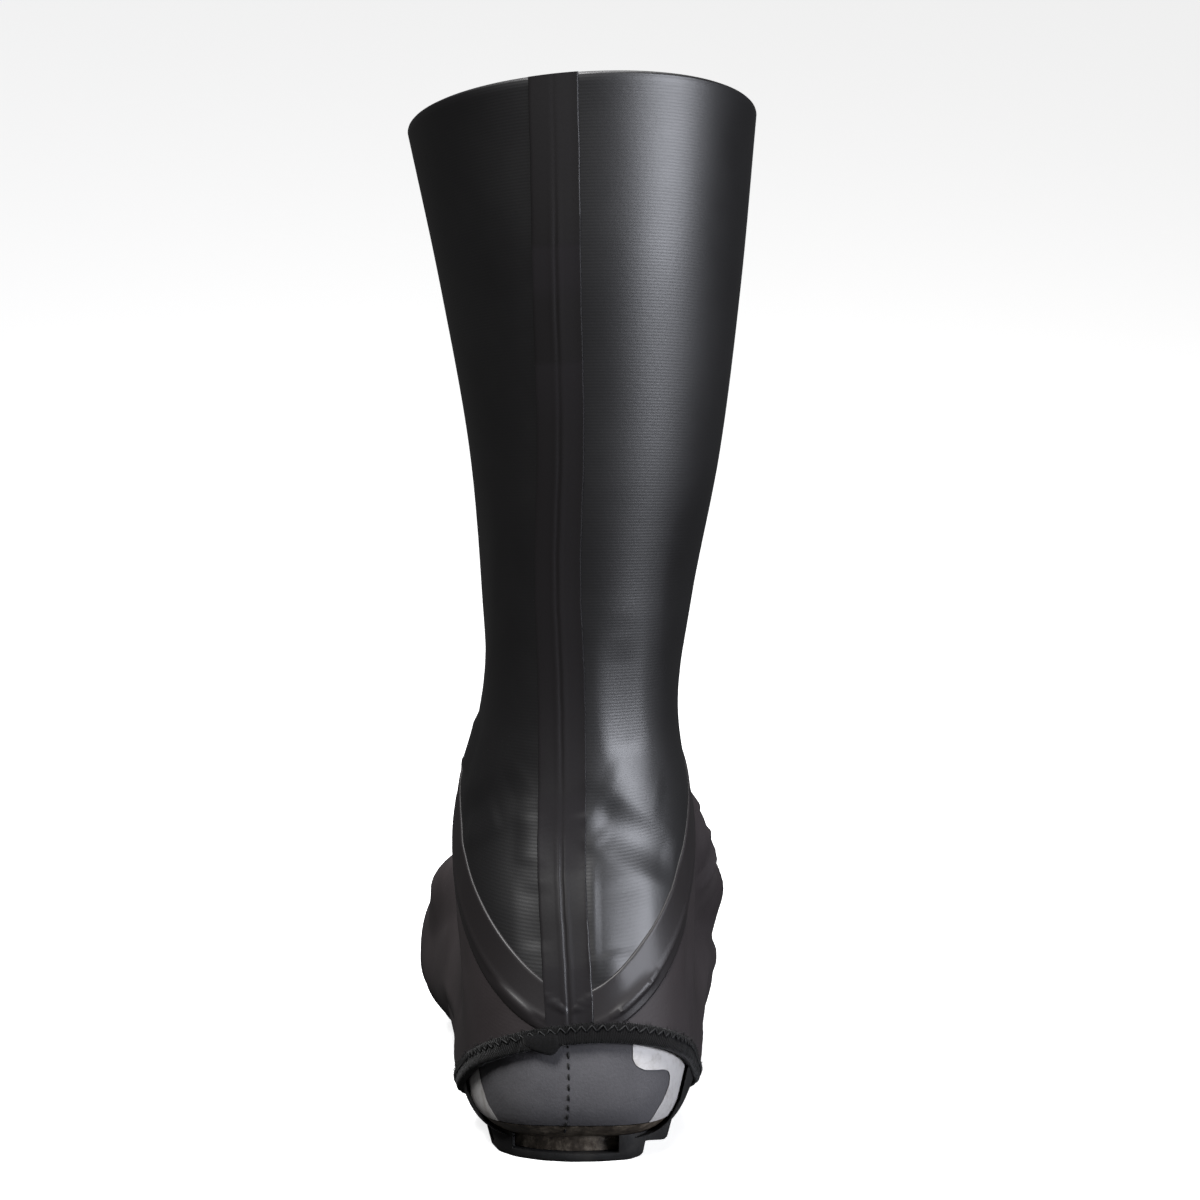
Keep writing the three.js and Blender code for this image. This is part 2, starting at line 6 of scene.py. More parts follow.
# %% Load the frame
import math
import bmesh
import bpy
import numpy as np
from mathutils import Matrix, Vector


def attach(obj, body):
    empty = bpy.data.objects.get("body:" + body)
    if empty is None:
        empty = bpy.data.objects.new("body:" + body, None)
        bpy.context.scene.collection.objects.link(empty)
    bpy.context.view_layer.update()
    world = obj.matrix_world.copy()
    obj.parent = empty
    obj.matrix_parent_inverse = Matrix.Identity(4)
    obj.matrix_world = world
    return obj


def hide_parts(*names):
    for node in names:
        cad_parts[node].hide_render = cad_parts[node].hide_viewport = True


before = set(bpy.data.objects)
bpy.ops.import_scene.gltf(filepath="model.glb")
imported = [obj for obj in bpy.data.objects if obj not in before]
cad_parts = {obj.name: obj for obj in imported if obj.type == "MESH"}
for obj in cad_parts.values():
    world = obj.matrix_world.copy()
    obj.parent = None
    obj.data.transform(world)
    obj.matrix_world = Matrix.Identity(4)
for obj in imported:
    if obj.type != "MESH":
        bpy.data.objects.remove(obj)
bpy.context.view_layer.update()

MM = 0.001

# %% [markdown]
# The cover is one stretched skin, so a single rule describes it: flat rings that run from the rim down
# the shaft, fan round the ankle and go on along the foot to the toe. Each ring is a rounded oval between a
# front point and a back point. A table of rings in shares of a few real sizes is easier to read and to
# change than a modelled mesh, and the tapes, the binding and the shoe can all be laid on the same rule.

# %% Sizes of the cover in millimetres
LENGTH = 292.0
HEIGHT = 340.0
ANKLE_HEIGHT = 142.0
COLLAR_WIDTH = 110.5
COLLAR_DEPTH = 117.0
COLLAR_CANT = 7.0
ANKLE_WIDTH = 63.6
HEEL_WIDTH = 75.5
BALL_WIDTH = 102.5
WALL = 2.0
SHOE_DEPTH = 2.35
SHOE_WALL = 2.4

COLUMNS = ("frontY", "frontZ", "backY", "backZ", "middle", "inner", "outer", "widest", "lowPower", "topPower")
SECTIONS = (
    ("shaft", 0.598, 0.859, -0.402, 1.000, 0.005, 0.493, 0.507, 0.50, 2.05, 2.0),
    ("shaft", 0.581, 0.626, -0.368, 0.717, 0.027, 0.422, 0.443, 0.50, 2.05, 2.0),
    ("shaft", 0.556, 0.384, -0.299, 0.434, 0.041, 0.356, 0.371, 0.48, 2.05, 2.0),
    ("neck", 0.521, 0.167, -0.231, 0.187, 0.047, 0.539, 0.531, 0.47, 2.05, 2.0),
    ("neck", 0.513, 0.000, -0.197, -0.005, 0.016, 0.508, 0.492, 0.45, 2.05, 2.0),
    ("heel", 0.223, 0.845, -0.089, 0.761, -0.007, 0.500, 0.481, 0.45, 2.1, 2.1),
    ("heel", 0.260, 0.754, -0.116, 0.549, -0.013, 0.524, 0.512, 0.44, 2.3, 2.2),
    ("heel", 0.305, 0.704, -0.134, 0.338, -0.007, 0.502, 0.502, 0.42, 2.6, 2.3),
    ("heel", 0.349, 0.669, -0.128, 0.120, 0.000, 0.502, 0.496, 0.42, 3.1, 2.5),
    ("heel", 0.394, 0.641, -0.068, 0.032, 0.000, 0.536, 0.516, 0.44, 3.6, 2.6),
    ("foot", 0.438, 0.606, 0.075, 0.049, 0.005, 0.449, 0.429, 0.46, 3.3, 2.7),
    ("foot", 0.493, 0.556, 0.223, 0.085, -0.005, 0.488, 0.459, 0.47, 3.0, 2.7),
    ("foot", 0.555, 0.500, 0.360, 0.070, -0.024, 0.527, 0.473, 0.45, 2.8, 2.6),
    ("foot", 0.623, 0.444, 0.497, 0.042, -0.049, 0.522, 0.488, 0.42, 2.8, 2.5),
    ("foot", 0.692, 0.387, 0.616, 0.042, -0.078, 0.459, 0.478, 0.40, 2.8, 2.4),
    ("foot", 0.760, 0.338, 0.719, 0.063, -0.107, 0.380, 0.420, 0.42, 2.8, 2.4),
    ("foot", 0.822, 0.282, 0.805, 0.106, -0.127, 0.273, 0.302, 0.45, 2.6, 2.4),
    ("foot", 0.853, 0.232, 0.846, 0.137, -0.135, 0.161, 0.176, 0.45, 2.4, 2.2),
    ("foot", 0.863, 0.197, 0.863, 0.169, -0.137, 0.049, 0.049, 0.50, 2.0, 2.0),
)
TOE = len(SECTIONS) - 1


def section_in_millimetres(zone, *shares):
    row = dict(zip(COLUMNS, shares))
    on_leg = zone in ("shaft", "neck")
    width = {"shaft": COLLAR_WIDTH, "neck": ANKLE_WIDTH, "heel": HEEL_WIDTH, "foot": BALL_WIDTH}[zone]
    for name in ("frontY", "backY"):
        row[name] *= COLLAR_DEPTH if on_leg else LENGTH
    for name in ("frontZ", "backZ"):
        share = row[name]
        row[name] = ANKLE_HEIGHT + share * (HEIGHT - ANKLE_HEIGHT) if on_leg else share * ANKLE_HEIGHT
    for name in ("middle", "inner", "outer"):
        row[name] *= width
    return [row[name] for name in COLUMNS]


ROWS = np.array([section_in_millimetres(*row) for row in SECTIONS])
print("rings in the table:", len(ROWS))

# %% [markdown]
# A smooth curve goes through each column of the table. A point on the skin is named by its place, the
# number of the ring counted down from the rim, and its angle round the ring: 0 at the back of the leg and
# under the foot, a quarter turn at the outer side, half a turn at the front. NumPy works on whole grids of
# such points at once, which is much faster here than one point at a time.

# %% The skin
def smooth(values, place):
    values = np.asarray(values, float)
    last = len(values) - 1
    at = np.clip(place, 0, last)
    i = np.minimum(np.floor(at).astype(int), last - 1)
    f = (at - i).reshape(at.shape + (1,) * (values.ndim - 1))
    b, c = values[i], values[i + 1]
    wide = (i > 0).reshape(f.shape)
    a = np.where(wide, values[np.maximum(i - 1, 0)], 2 * b - c)
    wide = (i < last - 1).reshape(f.shape)
    d = np.where(wide, values[np.minimum(i + 2, last)], 2 * c - b)
    return 0.5 * (2 * b + (c - a) * f + (2 * a - 5 * b + 4 * c - d) * f**2 + (3 * b - a - 3 * c + d) * f**3)


def bare_point(place, angle):
    place, angle = np.broadcast_arrays(np.asarray(place, float), np.asarray(angle, float))
    fy, fz, by, bz, middle, inner, outer, widest, low, top = np.moveaxis(smooth(ROWS, place), -1, 0)
    c, side = np.cos(angle), np.sin(angle)
    power = np.where(c > 0, low, top)
    half = np.where(c > 0, widest, 1 - widest)
    radius = (np.abs(c)**power + np.abs(side)**power)**(-1 / power)
    along = widest - half * c * radius
    across = np.where(side > 0, outer, inner) * side * radius
    z = bz + (fz - bz) * along
    climb = np.clip((z - ANKLE_HEIGHT) / (HEIGHT - ANKLE_HEIGHT), 0, 1)**3
    return np.stack([middle + across, by + (fy - by) * along, z + COLLAR_CANT * climb * across / COLLAR_WIDTH], -1)


def normal_of(surface, place, angle):
    place, angle = np.broadcast_arrays(np.asarray(place, float), np.asarray(angle, float))
    step, turn = 1e-3, 2e-3
    ahead = np.minimum(place + step, TOE)
    along = surface(ahead, angle) - surface(ahead - 2 * step, angle)
    around = surface(place, angle + turn) - surface(place, angle - turn)
    normal = np.cross(along, around)
    return normal / np.maximum(np.linalg.norm(normal, axis=-1, keepdims=True), 1e-12)


SWELLINGS = (
    ((0.36, 0.164, 0.676), (0.42, 0.301, 0.500), 0.234, 0.098),
    ((-0.42, 0.315, 0.535), (-0.46, 0.404, 0.451), 0.215, 0.044),
)


def distance_to_path(points, path):
    """The distance of each point to a path, and how far along it, from 0 to 1, the nearest spot lies."""
    best = np.full(points.shape[:-1], np.inf)
    where = np.zeros(points.shape[:-1])
    pieces = len(path) - 1
    for i in range(pieces):
        a, b = path[i], path[i + 1]
        u = np.clip(((points - a) @ (b - a)) / max((b - a) @ (b - a), 1e-9), 0, 1)
        d = np.linalg.norm(points - (a + u[..., None] * (b - a)), axis=-1)
        closer = d < best
        best = np.where(closer, d, best)
        where = np.where(closer, (i + u) / pieces, where)
    return best, where


def swollen_point(place, angle):
    points = bare_point(place, angle)
    lift = np.zeros(points.shape[:-1])
    for start, end, reach, height in SWELLINGS:
        scale = np.array([BALL_WIDTH, LENGTH, ANKLE_HEIGHT])
        share = distance_to_path(points, [start * scale, end * scale])[0] / (reach * BALL_WIDTH)
        lift += height * BALL_WIDTH * np.clip(1 - share**2, 0, None)**2
    return points + normal_of(bare_point, place, angle) * lift[..., None]


print("rim at the back:", bare_point(0.0, 0.0).round(1), "toe:", bare_point(float(TOE), 0.0).round(1))

# %% [markdown]
# Creases are what tell the eye that this is thin film over cloth and not a casting. Each is a soft trough or
# ridge along a short path on the skin, with a width and a height, so it can be placed by hand where the
# stretch and the bend at the ankle put it, and changed one by one.

# %% Creases, as places and angles on the skin
# path of (place, degrees), half width in mm, height in mm (a trough is below 0)
CREASES = (
    (((4.86, 8), (5.08, 22), (5.32, 38), (5.60, 54)), 10.0, -1.2),
    (((4.86, 5), (5.05, 8), (5.20, 13)), 7.0, 0.4),
    (((4.50, 14), (4.68, 32), (4.86, 50)), 12.0, 0.5),
    (((5.40, 8), (5.95, 8.5), (6.50, 9)), 2.4, 0.4),
    (((5.55, 22), (6.00, 24), (6.40, 26)), 11.0, -0.5),
    (((6.30, 14), (6.60, 18)), 8.0, 0.5),
    (((4.90, -24), (5.17, -22), (5.45, -22)), 6.0, 0.5),
    (((5.60, -19), (6.30, -18)), 7.0, -0.5),
    (((4.55, -30), (4.95, -50), (5.20, -72)), 10.0, -0.8),
    (((4.95, -40), (5.35, -62)), 8.0, 0.6),
    (((5.90, -88), (6.90, -84), (8.30, -84)), 9.0, -1.2),
    (((6.10, 72), (7.00, 66), (8.10, 68)), 9.0, -0.9),
    (((6.30, -70), (7.40, -64)), 5.0, 0.5),
    (((10.50, 86), (11.00, 86), (11.40, 88)), 6.0, 1.3),
    (((10.90, 97), (11.30, 95)), 6.0, -0.9),
    (((4.10, 170), (4.60, 163), (5.00, 156)), 8.0, -1.2),
    (((4.15, -170), (4.65, -163), (5.05, -156)), 8.0, -1.2),
    (((4.85, 176), (5.30, 167), (5.90, 159)), 8.0, -1.3),
    (((4.85, -176), (5.30, -167), (5.90, -159)), 8.0, -1.3),
    (((5.70, 176), (6.20, 168), (7.00, 160)), 7.0, -0.9),
    (((5.70, -176), (6.20, -168), (7.00, -160)), 7.0, -0.9),
    (((5.25, 179), (5.60, 165)), 6.0, 1.0),
    (((5.25, -179), (5.60, -165)), 6.0, 1.0),
    (((11.20, 110), (12.00, 122), (12.60, 140)), 9.0, -0.9),
    (((11.40, -112), (12.10, -124), (12.80, -144)), 9.0, -0.9),
    (((2.60, 60), (3.20, 66), (3.80, 80)), 14.0, -0.7),
    (((2.40, -70), (3.10, -78), (3.70, -92)), 14.0, -0.7),
    (((3.30, 20), (3.90, 24), (4.40, 30)), 9.0, -0.6),
    (((0.40, 150), (1.40, 160), (2.60, 168)), 12.0, -0.6),
    (((0.90, -140), (1.90, -150), (3.00, -156)), 13.0, -0.7),
)
# larger forms that the foot and the shoe's fittings push out, or that the cloth leaves hollow
FORMS = (
    (((6.80, 114), (7.60, 118), (8.60, 121), (9.40, 123)), 19.0, 6.0),
    (((5.80, 119), (6.30, 116)), 11.0, -2.0),
    (((10.10, -129), (10.60, -124), (11.10, -117)), 23.0, 1.7),
    (((10.70, 72), (10.30, 66), (9.90, 60)), 14.0, -2.8),
    (((12.70, -64), (12.30, -62)), 11.0, -1.6),
    (((10.80, -58), (10.20, -61), (9.70, -62)), 13.0, -3.4),
    (((4.10, -93), (4.50, -93), (4.80, -93)), 14.0, 1.6),
)
# sharp little ridges where the seams lie folded under the tapes
SEAM_RIDGES = (
    (((6.72, -39), (6.88, -27), (7.05, -15.5)), 1.5, 0.75),
    (((6.64, 38), (6.80, 27), (6.95, 17)), 1.5, 0.75),
    (((6.73, -13), (6.88, -5.5)), 1.3, 0.6),
    (((6.73, 7), (6.88, -0.5)), 1.3, 0.6),
)


def on_skin(path):
    places, turns = np.array(path, float).T
    steps = np.linspace(0, len(path) - 1, 4 * len(path))
    return swollen_point(smooth(places, steps), np.radians(smooth(turns, steps)))


RELIEF = [(on_skin(path), half, height) for path, half, height in CREASES + FORMS + SEAM_RIDGES]


def relief(points):
    lift = np.zeros(points.shape[:-1])
    for path, half, height in RELIEF:
        low, high = path.min(0) - half, path.max(0) + half
        near = ((points > low) & (points < high)).all(-1)
        if near.any():
            distance, where = distance_to_path(points[near], path)
            fade = np.clip(4 * np.minimum(where, 1 - where) + 0.35, 0, 1)
            lift[near] += height * fade * np.clip(1 - (distance / half)**2, 0, None)**2
    return lift


def skin_point(place, angle):
    points = swollen_point(place, angle)
    return points + normal_of(swollen_point, place, angle) * relief(points)[..., None]


def skin(place, angle, height=0.0, creased=True):
    """Points this far outside the cover's outer face, with their normals."""
    place, angle = np.broadcast_arrays(np.asarray(place, float), np.asarray(angle, float))
    surface = skin_point if creased else swollen_point
    points = surface(place, angle)
    normals = normal_of(surface, place, angle)
    step = normals * np.asarray(height, float)[..., None]
    row = smooth(ROWS, place)
    centre = np.stack([row[..., 4], (row[..., 0] + row[..., 2]) / 2, (row[..., 1] + row[..., 3]) / 2], -1)
    room = 0.66 * np.linalg.norm(points - centre, axis=-1)
    sideways = np.linalg.norm(step[..., [0, 2]], axis=-1)
    scale = np.where((place > TOE - 3) & (sideways > room), room / np.maximum(sideways, 1e-9), 1.0)
    step[..., 0] *= scale
    step[..., 2] *= scale
    return points + step, normals


print("creases:", len(CREASES), "seam ridges:", len(SEAM_RIDGES))

# %% [markdown]
# A mesh is a list of corners and a list of faces. These few helpers turn grids of points into closed
# meshes. Closed matters: light, thickness and any later cut only work when a form has an inside.

# %% Mesh helpers
def make_mesh(name, points, faces, uv=None):
    mesh = bpy.data.meshes.new(name)
    mesh.from_pydata((np.asarray(points) * MM).tolist(), [], faces)
    if uv is not None:
        layer = mesh.uv_layers.new(name="UVMap")
        corners = np.empty(len(mesh.loops), dtype=np.int32)
        mesh.loops.foreach_get("vertex_index", corners)
        layer.data.foreach_set("uv", np.asarray(uv, np.float32)[corners].ravel())
    mesh.validate()
    mesh.polygons.foreach_set("use_smooth", [True] * len(mesh.polygons))
    mesh.update()
    return mesh


def make_object(name, mesh):
    piece = bpy.data.objects.new(name, mesh)
    bpy.context.scene.collection.objects.link(piece)
    return piece


def band_faces(first, second, count, wrap=True):
    faces = []
    for j in range(count if wrap else count - 1):
        k = (j + 1) % count
        faces.append((first + j, second + j, second + k, first + k))
    return faces


def turned(faces):
    return [tuple(reversed(face)) for face in faces]


def shell_mesh(name, outside, inside, uv_out, uv_in, open_end=True):
    """A wall between two stacks of rings, open at the first ring and closed at the last."""
    rows, count = outside.shape[:2]
    rows_in = inside.shape[0]
    points = np.concatenate([outside.reshape(-1, 3), inside.reshape(-1, 3)])
    half = rows * count
    faces = []
    for i in range(rows - 1):
        faces += band_faces(i * count, (i + 1) * count, count)
    for i in range(rows_in - 1):
        faces += turned(band_faces(half + i * count, half + (i + 1) * count, count))
    faces += turned(band_faces(0, half, count))
    hubs = [outside[-1].mean(0), inside[-1].mean(0)]
    hub = len(points)
    points = np.concatenate([points, hubs])
    last_out, last_in = (rows - 1) * count, half + (rows_in - 1) * count
    for j in range(count):
        k = (j + 1) % count
        faces.append((hub, last_out + k, last_out + j))
        faces.append((hub + 1, last_in + j, last_in + k))
    uv = np.concatenate([uv_out.reshape(-1, 2), uv_in.reshape(-1, 2), uv_out[-1, :1], uv_in[-1, :1]])
    return make_mesh(name, points, faces, uv)


def recalculated(mesh):
    """The same mesh with every face turned outward."""
    body = bmesh.new()
    body.from_mesh(mesh)
    bmesh.ops.recalc_face_normals(body, faces=body.faces)
    body.to_mesh(mesh)
    body.free()
    return mesh


def solid_mesh(name, rings, flat_ends=False):
    """A body through closed rings of points, with a fan or one flat face at each end."""
    rows, count = rings.shape[:2]
    faces = []
    for i in range(rows - 1):
        faces += band_faces(i * count, (i + 1) * count, count)
    last = (rows - 1) * count
    if flat_ends:
        faces += [tuple(range(count)), tuple(range(last + count - 1, last - 1, -1))]
        return make_mesh(name, rings.reshape(-1, 3), faces)
    points = np.concatenate([rings.reshape(-1, 3), [rings[0].mean(0), rings[-1].mean(0)]])
    hub = rows * count
    for j in range(count):
        k = (j + 1) % count
        faces.append((hub, j, k))
        faces.append((hub + 1, last + k, last + j))
    return make_mesh(name, points, faces)


def prism_mesh(name, outline, low, high, axis):
    """An outline of two coordinates, drawn out along the third axis (0 for X, 1 for Y, 2 for Z)."""
    outline = np.asarray(outline, float)
    count = len(outline)
    keep = [k for k in range(3) if k != axis]
    points = np.zeros((2 * count, 3))
    points[:, keep] = np.concatenate([outline, outline])
    points[:count, axis] = low
    points[count:, axis] = high
    faces = [tuple(range(count)), tuple(range(2 * count - 1, count - 1, -1))]
    faces += [(j, (j + 1) % count, count + (j + 1) % count, count + j) for j in range(count)]
    return recalculated(make_mesh(name, points, faces))


def plain_copy(piece):
    """The piece with its modifiers worked in, as a plain mesh."""
    graph = bpy.context.evaluated_depsgraph_get()
    mesh = bpy.data.meshes.new_from_object(piece.evaluated_get(graph))
    piece.modifiers.clear()
    piece.data = mesh
    return piece


def cut(piece, cutter_mesh, operation="DIFFERENCE"):
    cutter = make_object("cutter", cutter_mesh)
    step = piece.modifiers.new("cut", "BOOLEAN")
    step.operation = operation
    step.solver = "EXACT"
    step.object = cutter
    bpy.context.view_layer.update()
    plain_copy(piece)
    bpy.data.objects.remove(cutter)
    return piece


def crisp(piece, degrees=38):
    piece.data.polygons.foreach_set("use_smooth", [True] * len(piece.data.polygons))
    piece.data.set_sharp_from_angle(angle=math.radians(degrees))
    return piece


def describe(piece):
    print(piece.name, "faces:", len(piece.data.polygons))


# %% [markdown]
# The same edge of the heel opening cuts the wall, carries the binding and frames the bare heel. It is a
# curve seen from the side, tilted a little because the outer side sits higher. Measuring each point's
# distance from that curve gives one number that says inside or outside, at any margin.

# %% The heel opening
OPENING_EDGE = ((-0.20, 0.305), (-0.137, 0.292), (-0.075, 0.258), (0.010, 0.190), (0.080, 0.112),
                (0.125, 0.020), (0.145, -0.080))
OPENING_TILT = math.radians(4)
BINDING_WIDTH = 6.0
DROP_CENTRE, OUTER_DROP, INNER_DROP, DROP_LIMIT = 2.0, 0.0055, 0.0042, 8.0


def opening_edge(margin=0.0):
    shares = np.array(OPENING_EDGE) * (LENGTH, ANKLE_HEIGHT)
    steps = np.linspace(0, len(shares) - 1, 60)
    line = smooth(shares, steps)
    tangent = np.gradient(line, axis=0)
    tangent /= np.linalg.norm(tangent, axis=1, keepdims=True)
    return line + margin * np.stack([-tangent[:, 1], tangent[:, 0]], 1)


def side_drop(x):
    """How far the edge hangs below its middle at this distance across the heel."""
    off = x - DROP_CENTRE
    return np.clip(np.where(off > 0, OUTER_DROP, INNER_DROP) * off**2, 0, DROP_LIMIT)


def untilted(points):
    x, z = points[..., 0], points[..., 2]
    c, s = math.cos(OPENING_TILT), math.sin(OPENING_TILT)
    return np.stack([points[..., 1], z * c - x * s + side_drop(x)], -1)


def edge_distance(points):
    """Millimetres from the opening's edge, below 0 inside the opening."""
    flat = untilted(points)
    line = opening_edge()
    best = np.full(flat.shape[:-1], np.inf)
    sign = np.ones(flat.shape[:-1])
    for a, b in zip(line[:-1], line[1:]):
        u = np.clip(((flat - a) @ (b - a)) / ((b - a) @ (b - a)), 0, 1)
        gap = flat - (a + u[..., None] * (b - a))
        d = np.linalg.norm(gap, axis=-1)
        side = (b - a)[0] * gap[..., 1] - (b - a)[1] * gap[..., 0]
        closer = d < best
        best = np.where(closer, d, best)
        sign = np.where(closer, np.sign(side), sign)
    return best * sign


def opening_cutter(margin):
    """A body that fills the opening, made of one side view after another across the heel."""
    line = opening_edge(margin)
    low = -60.0
    outline = np.concatenate([line, [[line[-1][0], low], [line[0][0], low]]])
    slices = []
    for x in np.linspace(-90, 90, 91):
        lift = (x * math.sin(OPENING_TILT) - side_drop(x)) / math.cos(OPENING_TILT)
        slices.append(np.stack([np.full(len(outline), x), outline[:, 0], outline[:, 1] + lift], 1))
    rings = np.array(slices)
    mesh = solid_mesh("opening_cutter", rings, flat_ends=True)
    return recalculated(mesh)


LOOP_PLACE, LOOP_PLACE_REACH, LOOP_ANGLE_REACH = 8.55, 2.4, math.radians(118)


def loop_at(margin, turn):
    """Places and angles on the skin this far outside the opening's edge; turn 0 is the back of the heel."""
    margin, turn = np.broadcast_arrays(np.asarray(margin, float), np.asarray(turn, float))
    inside, outside = np.zeros(turn.shape), np.ones(turn.shape)
    for _ in range(30):
        middle = (inside + outside) / 2
        place = LOOP_PLACE - LOOP_PLACE_REACH * middle * np.cos(turn)
        angle = LOOP_ANGLE_REACH * middle * np.sin(turn)
        within = edge_distance(swollen_point(place, angle)) < margin
        inside = np.where(within, middle, inside)
        outside = np.where(within, outside, middle)
    return LOOP_PLACE - LOOP_PLACE_REACH * inside * np.cos(turn), LOOP_ANGLE_REACH * inside * np.sin(turn)


def opening_loop(margin, count=360):
    return loop_at(margin, np.arange(count) * 2 * math.pi / count)


loop_points = swollen_point(*opening_loop(0.0))
print("opening edge runs from", loop_points.min(0).round(1), "to", loop_points.max(0).round(1))

# %% [markdown]
# The ankle seam divides two cloths: a smooth glossy one on the leg and a dull one on the foot. The tape
# over that seam starts at the middle of the heel and rises round the ankle. A list of ring numbers, one for
# every 20 degrees, draws it on the skin.

# %% Seam lines
BACK_TAPE_ANGLES = (-8.2, -11.3, -14.6, -15.6, -10.5, -6.8, -4.8, -2.8, -2.0)
ANKLE_TAPE_PLACES = (6.95, 6.75, 6.4, 5.93, 5.38, 4.92, 4.56, 4.26, 4.03, 3.88)
TAPE_WIDTH = 15.4
ANKLE_TAPE_WIDTH = 14.2
ANKLE_TAPE_RISE = -6.0


def back_tape_angle(place):
    return np.radians(smooth(BACK_TAPE_ANGLES, place))


def ankle_place(angle):
    return smooth(ANKLE_TAPE_PLACES, np.abs(np.degrees(angle)) / 20)


def per_millimetre(place, angle, along):
    """The change of place (or of angle) that moves a point by one millimetre."""
    step = 2e-3
    moved = swollen_point(place + step, angle) if along else swollen_point(place, angle + step)
    return step / np.linalg.norm(moved - swollen_point(place, angle), axis=-1)


# %% [markdown]
# Every colour below is written as a web hex value, as one would read it off a photograph, and turned to
# the linear light that Blender works in by one function. A second small function adds any kind of node.

# %% Material helpers
def linear(hex_colour):
    values = [int(hex_colour[i:i + 2], 16) / 255 for i in (1, 3, 5)]
    return [v / 12.92 if v <= 0.04045 else ((v + 0.055) / 1.055)**2.4 for v in values] + [1.0]


def add_node(tree, kind, links=None, inputs=None, **settings):
    node = tree.nodes.new(kind)
    for name, value in settings.items():
        setattr(node, name, value)
    for name, value in (inputs or {}).items():
        node.inputs[name].default_value = value
    for name, source in (links or {}).items():
        tree.links.new(source, node.inputs[name])
    return node


def new_material(name):
    material = bpy.data.materials.new(name)
    material.use_nodes = True
    tree = material.node_tree
    return material, tree, tree.nodes["Principled BSDF"]


def hex_ramp(tree, source, stops):
    """A colour ramp from positions and hex colours."""
    node = add_node(tree, "ShaderNodeValToRGB", links={"Fac": source})
    elements = node.color_ramp.elements
    while len(elements) < len(stops):
        elements.new(0.5)
    for element, (position, colour) in zip(elements, stops):
        element.position = position
        element.color = linear(colour)
    return node.outputs["Color"]


def value_range(tree, source, low, high, new_low, new_high):
    node = add_node(tree, "ShaderNodeMapRange", links={"Value": source},
                    inputs={"From Min": low, "From Max": high, "To Min": new_low, "To Max": new_high})
    return node.outputs["Result"]


# %% [markdown]
# The leg panels are a knitted cloth with a polyurethane film bonded on it. Film makes a wide soft gloss
# and the knit under it prints through as very fine lines across the leg. The lines read the surface's own
# map, which is measured in millimetres, so they bend with the leg; a real line is about 0.5 mm apart.

# %% Film on the leg
RIB_SPACING = 0.9
METRES_TO_MM = 1000.0


def film_material(name, dark, light, rough_low, rough_high, rib_height, grain_height, level):
    material, tree, shader = new_material(name)
    uv = add_node(tree, "ShaderNodeTexCoord")
    split = add_node(tree, "ShaderNodeSeparateXYZ", links={"Vector": uv.outputs["UV"]})
    ribs = add_node(tree, "ShaderNodeTexWave", links={"Vector": uv.outputs["UV"]},
                    inputs={"Scale": 2 * math.pi / (20 * RIB_SPACING) * METRES_TO_MM / METRES_TO_MM,
                            "Distortion": 1.2, "Detail": 2.0, "Detail Scale": 0.15},
                    wave_type="BANDS", bands_direction="Y")
    grain = add_node(tree, "ShaderNodeTexNoise", links={"Vector": uv.outputs["Object"]},
                     inputs={"Scale": METRES_TO_MM / 1.6, "Detail": 3.0, "Roughness": 0.6})
    clouds = add_node(tree, "ShaderNodeTexNoise", links={"Vector": uv.outputs["Object"]},
                      inputs={"Scale": METRES_TO_MM / 45, "Detail": 4.0, "Roughness": 0.55})
    colour = hex_ramp(tree, clouds.outputs["Fac"], ((0.3, dark), (0.7, light)))
    tree.links.new(colour, shader.inputs["Base Color"])
    tree.links.new(value_range(tree, clouds.outputs["Fac"], 0.3, 0.7, rough_low, rough_high),
                   shader.inputs["Roughness"])
    fine = add_node(tree, "ShaderNodeBump", links={"Height": ribs.outputs["Fac"]},
                    inputs={"Strength": 1.0, "Distance": rib_height * MM})
    coarse = add_node(tree, "ShaderNodeBump",
                      links={"Height": grain.outputs["Fac"], "Normal": fine.outputs["Normal"]},
                      inputs={"Strength": 1.0, "Distance": grain_height * MM})
    tree.links.new(coarse.outputs["Normal"], shader.inputs["Normal"])
    shader.inputs["IOR"].default_value = 1.5
    shader.inputs["Specular IOR Level"].default_value = level
    return material


film = film_material("polyurethane_film_on_knit", "#060507", "#09080a", 0.42, 0.49, 0.010, 0.025, 0.95)
foot_cloth = film_material("dull_rubberised_knit", "#2f2a2b", "#393435", 0.55, 0.68, 0.008, 0.05, 0.36)
print("leg ribs every", RIB_SPACING, "mm")

# %% [markdown]
# The cover itself: a dense outer skin with its creases, a plainer inner skin 2 mm below it and a rim that
# joins them. Rings are closer round the ankle and the heel, where the creases are. Both openings are cut
# with a solid, because a hole drawn into a grid by hand would never follow a smooth edge.

# %% The cover
ROUND = 216


def ring_places():
    spans = ((0.0, 3.0, 70), (3.0, 8.0, 150), (8.0, 15.0, 70), (15.0, 17.4, 22), (17.4, 18.0, 9))
    return np.concatenate([np.linspace(a, b, n, endpoint=False) for a, b, n in spans] + [[float(TOE)]])


def surface_map(places, angles, points):
    """Millimetres round the ring and down the leg, for patterns that follow the cloth."""
    down = np.zeros(points.shape[:2])
    steps = np.linalg.norm(np.diff(points, axis=0), axis=-1).mean(1)
    down[1:] = np.cumsum(steps)[:, None]
    around = np.broadcast_to(angles * 40.0, points.shape[:2])
    return np.stack([around, down], -1)


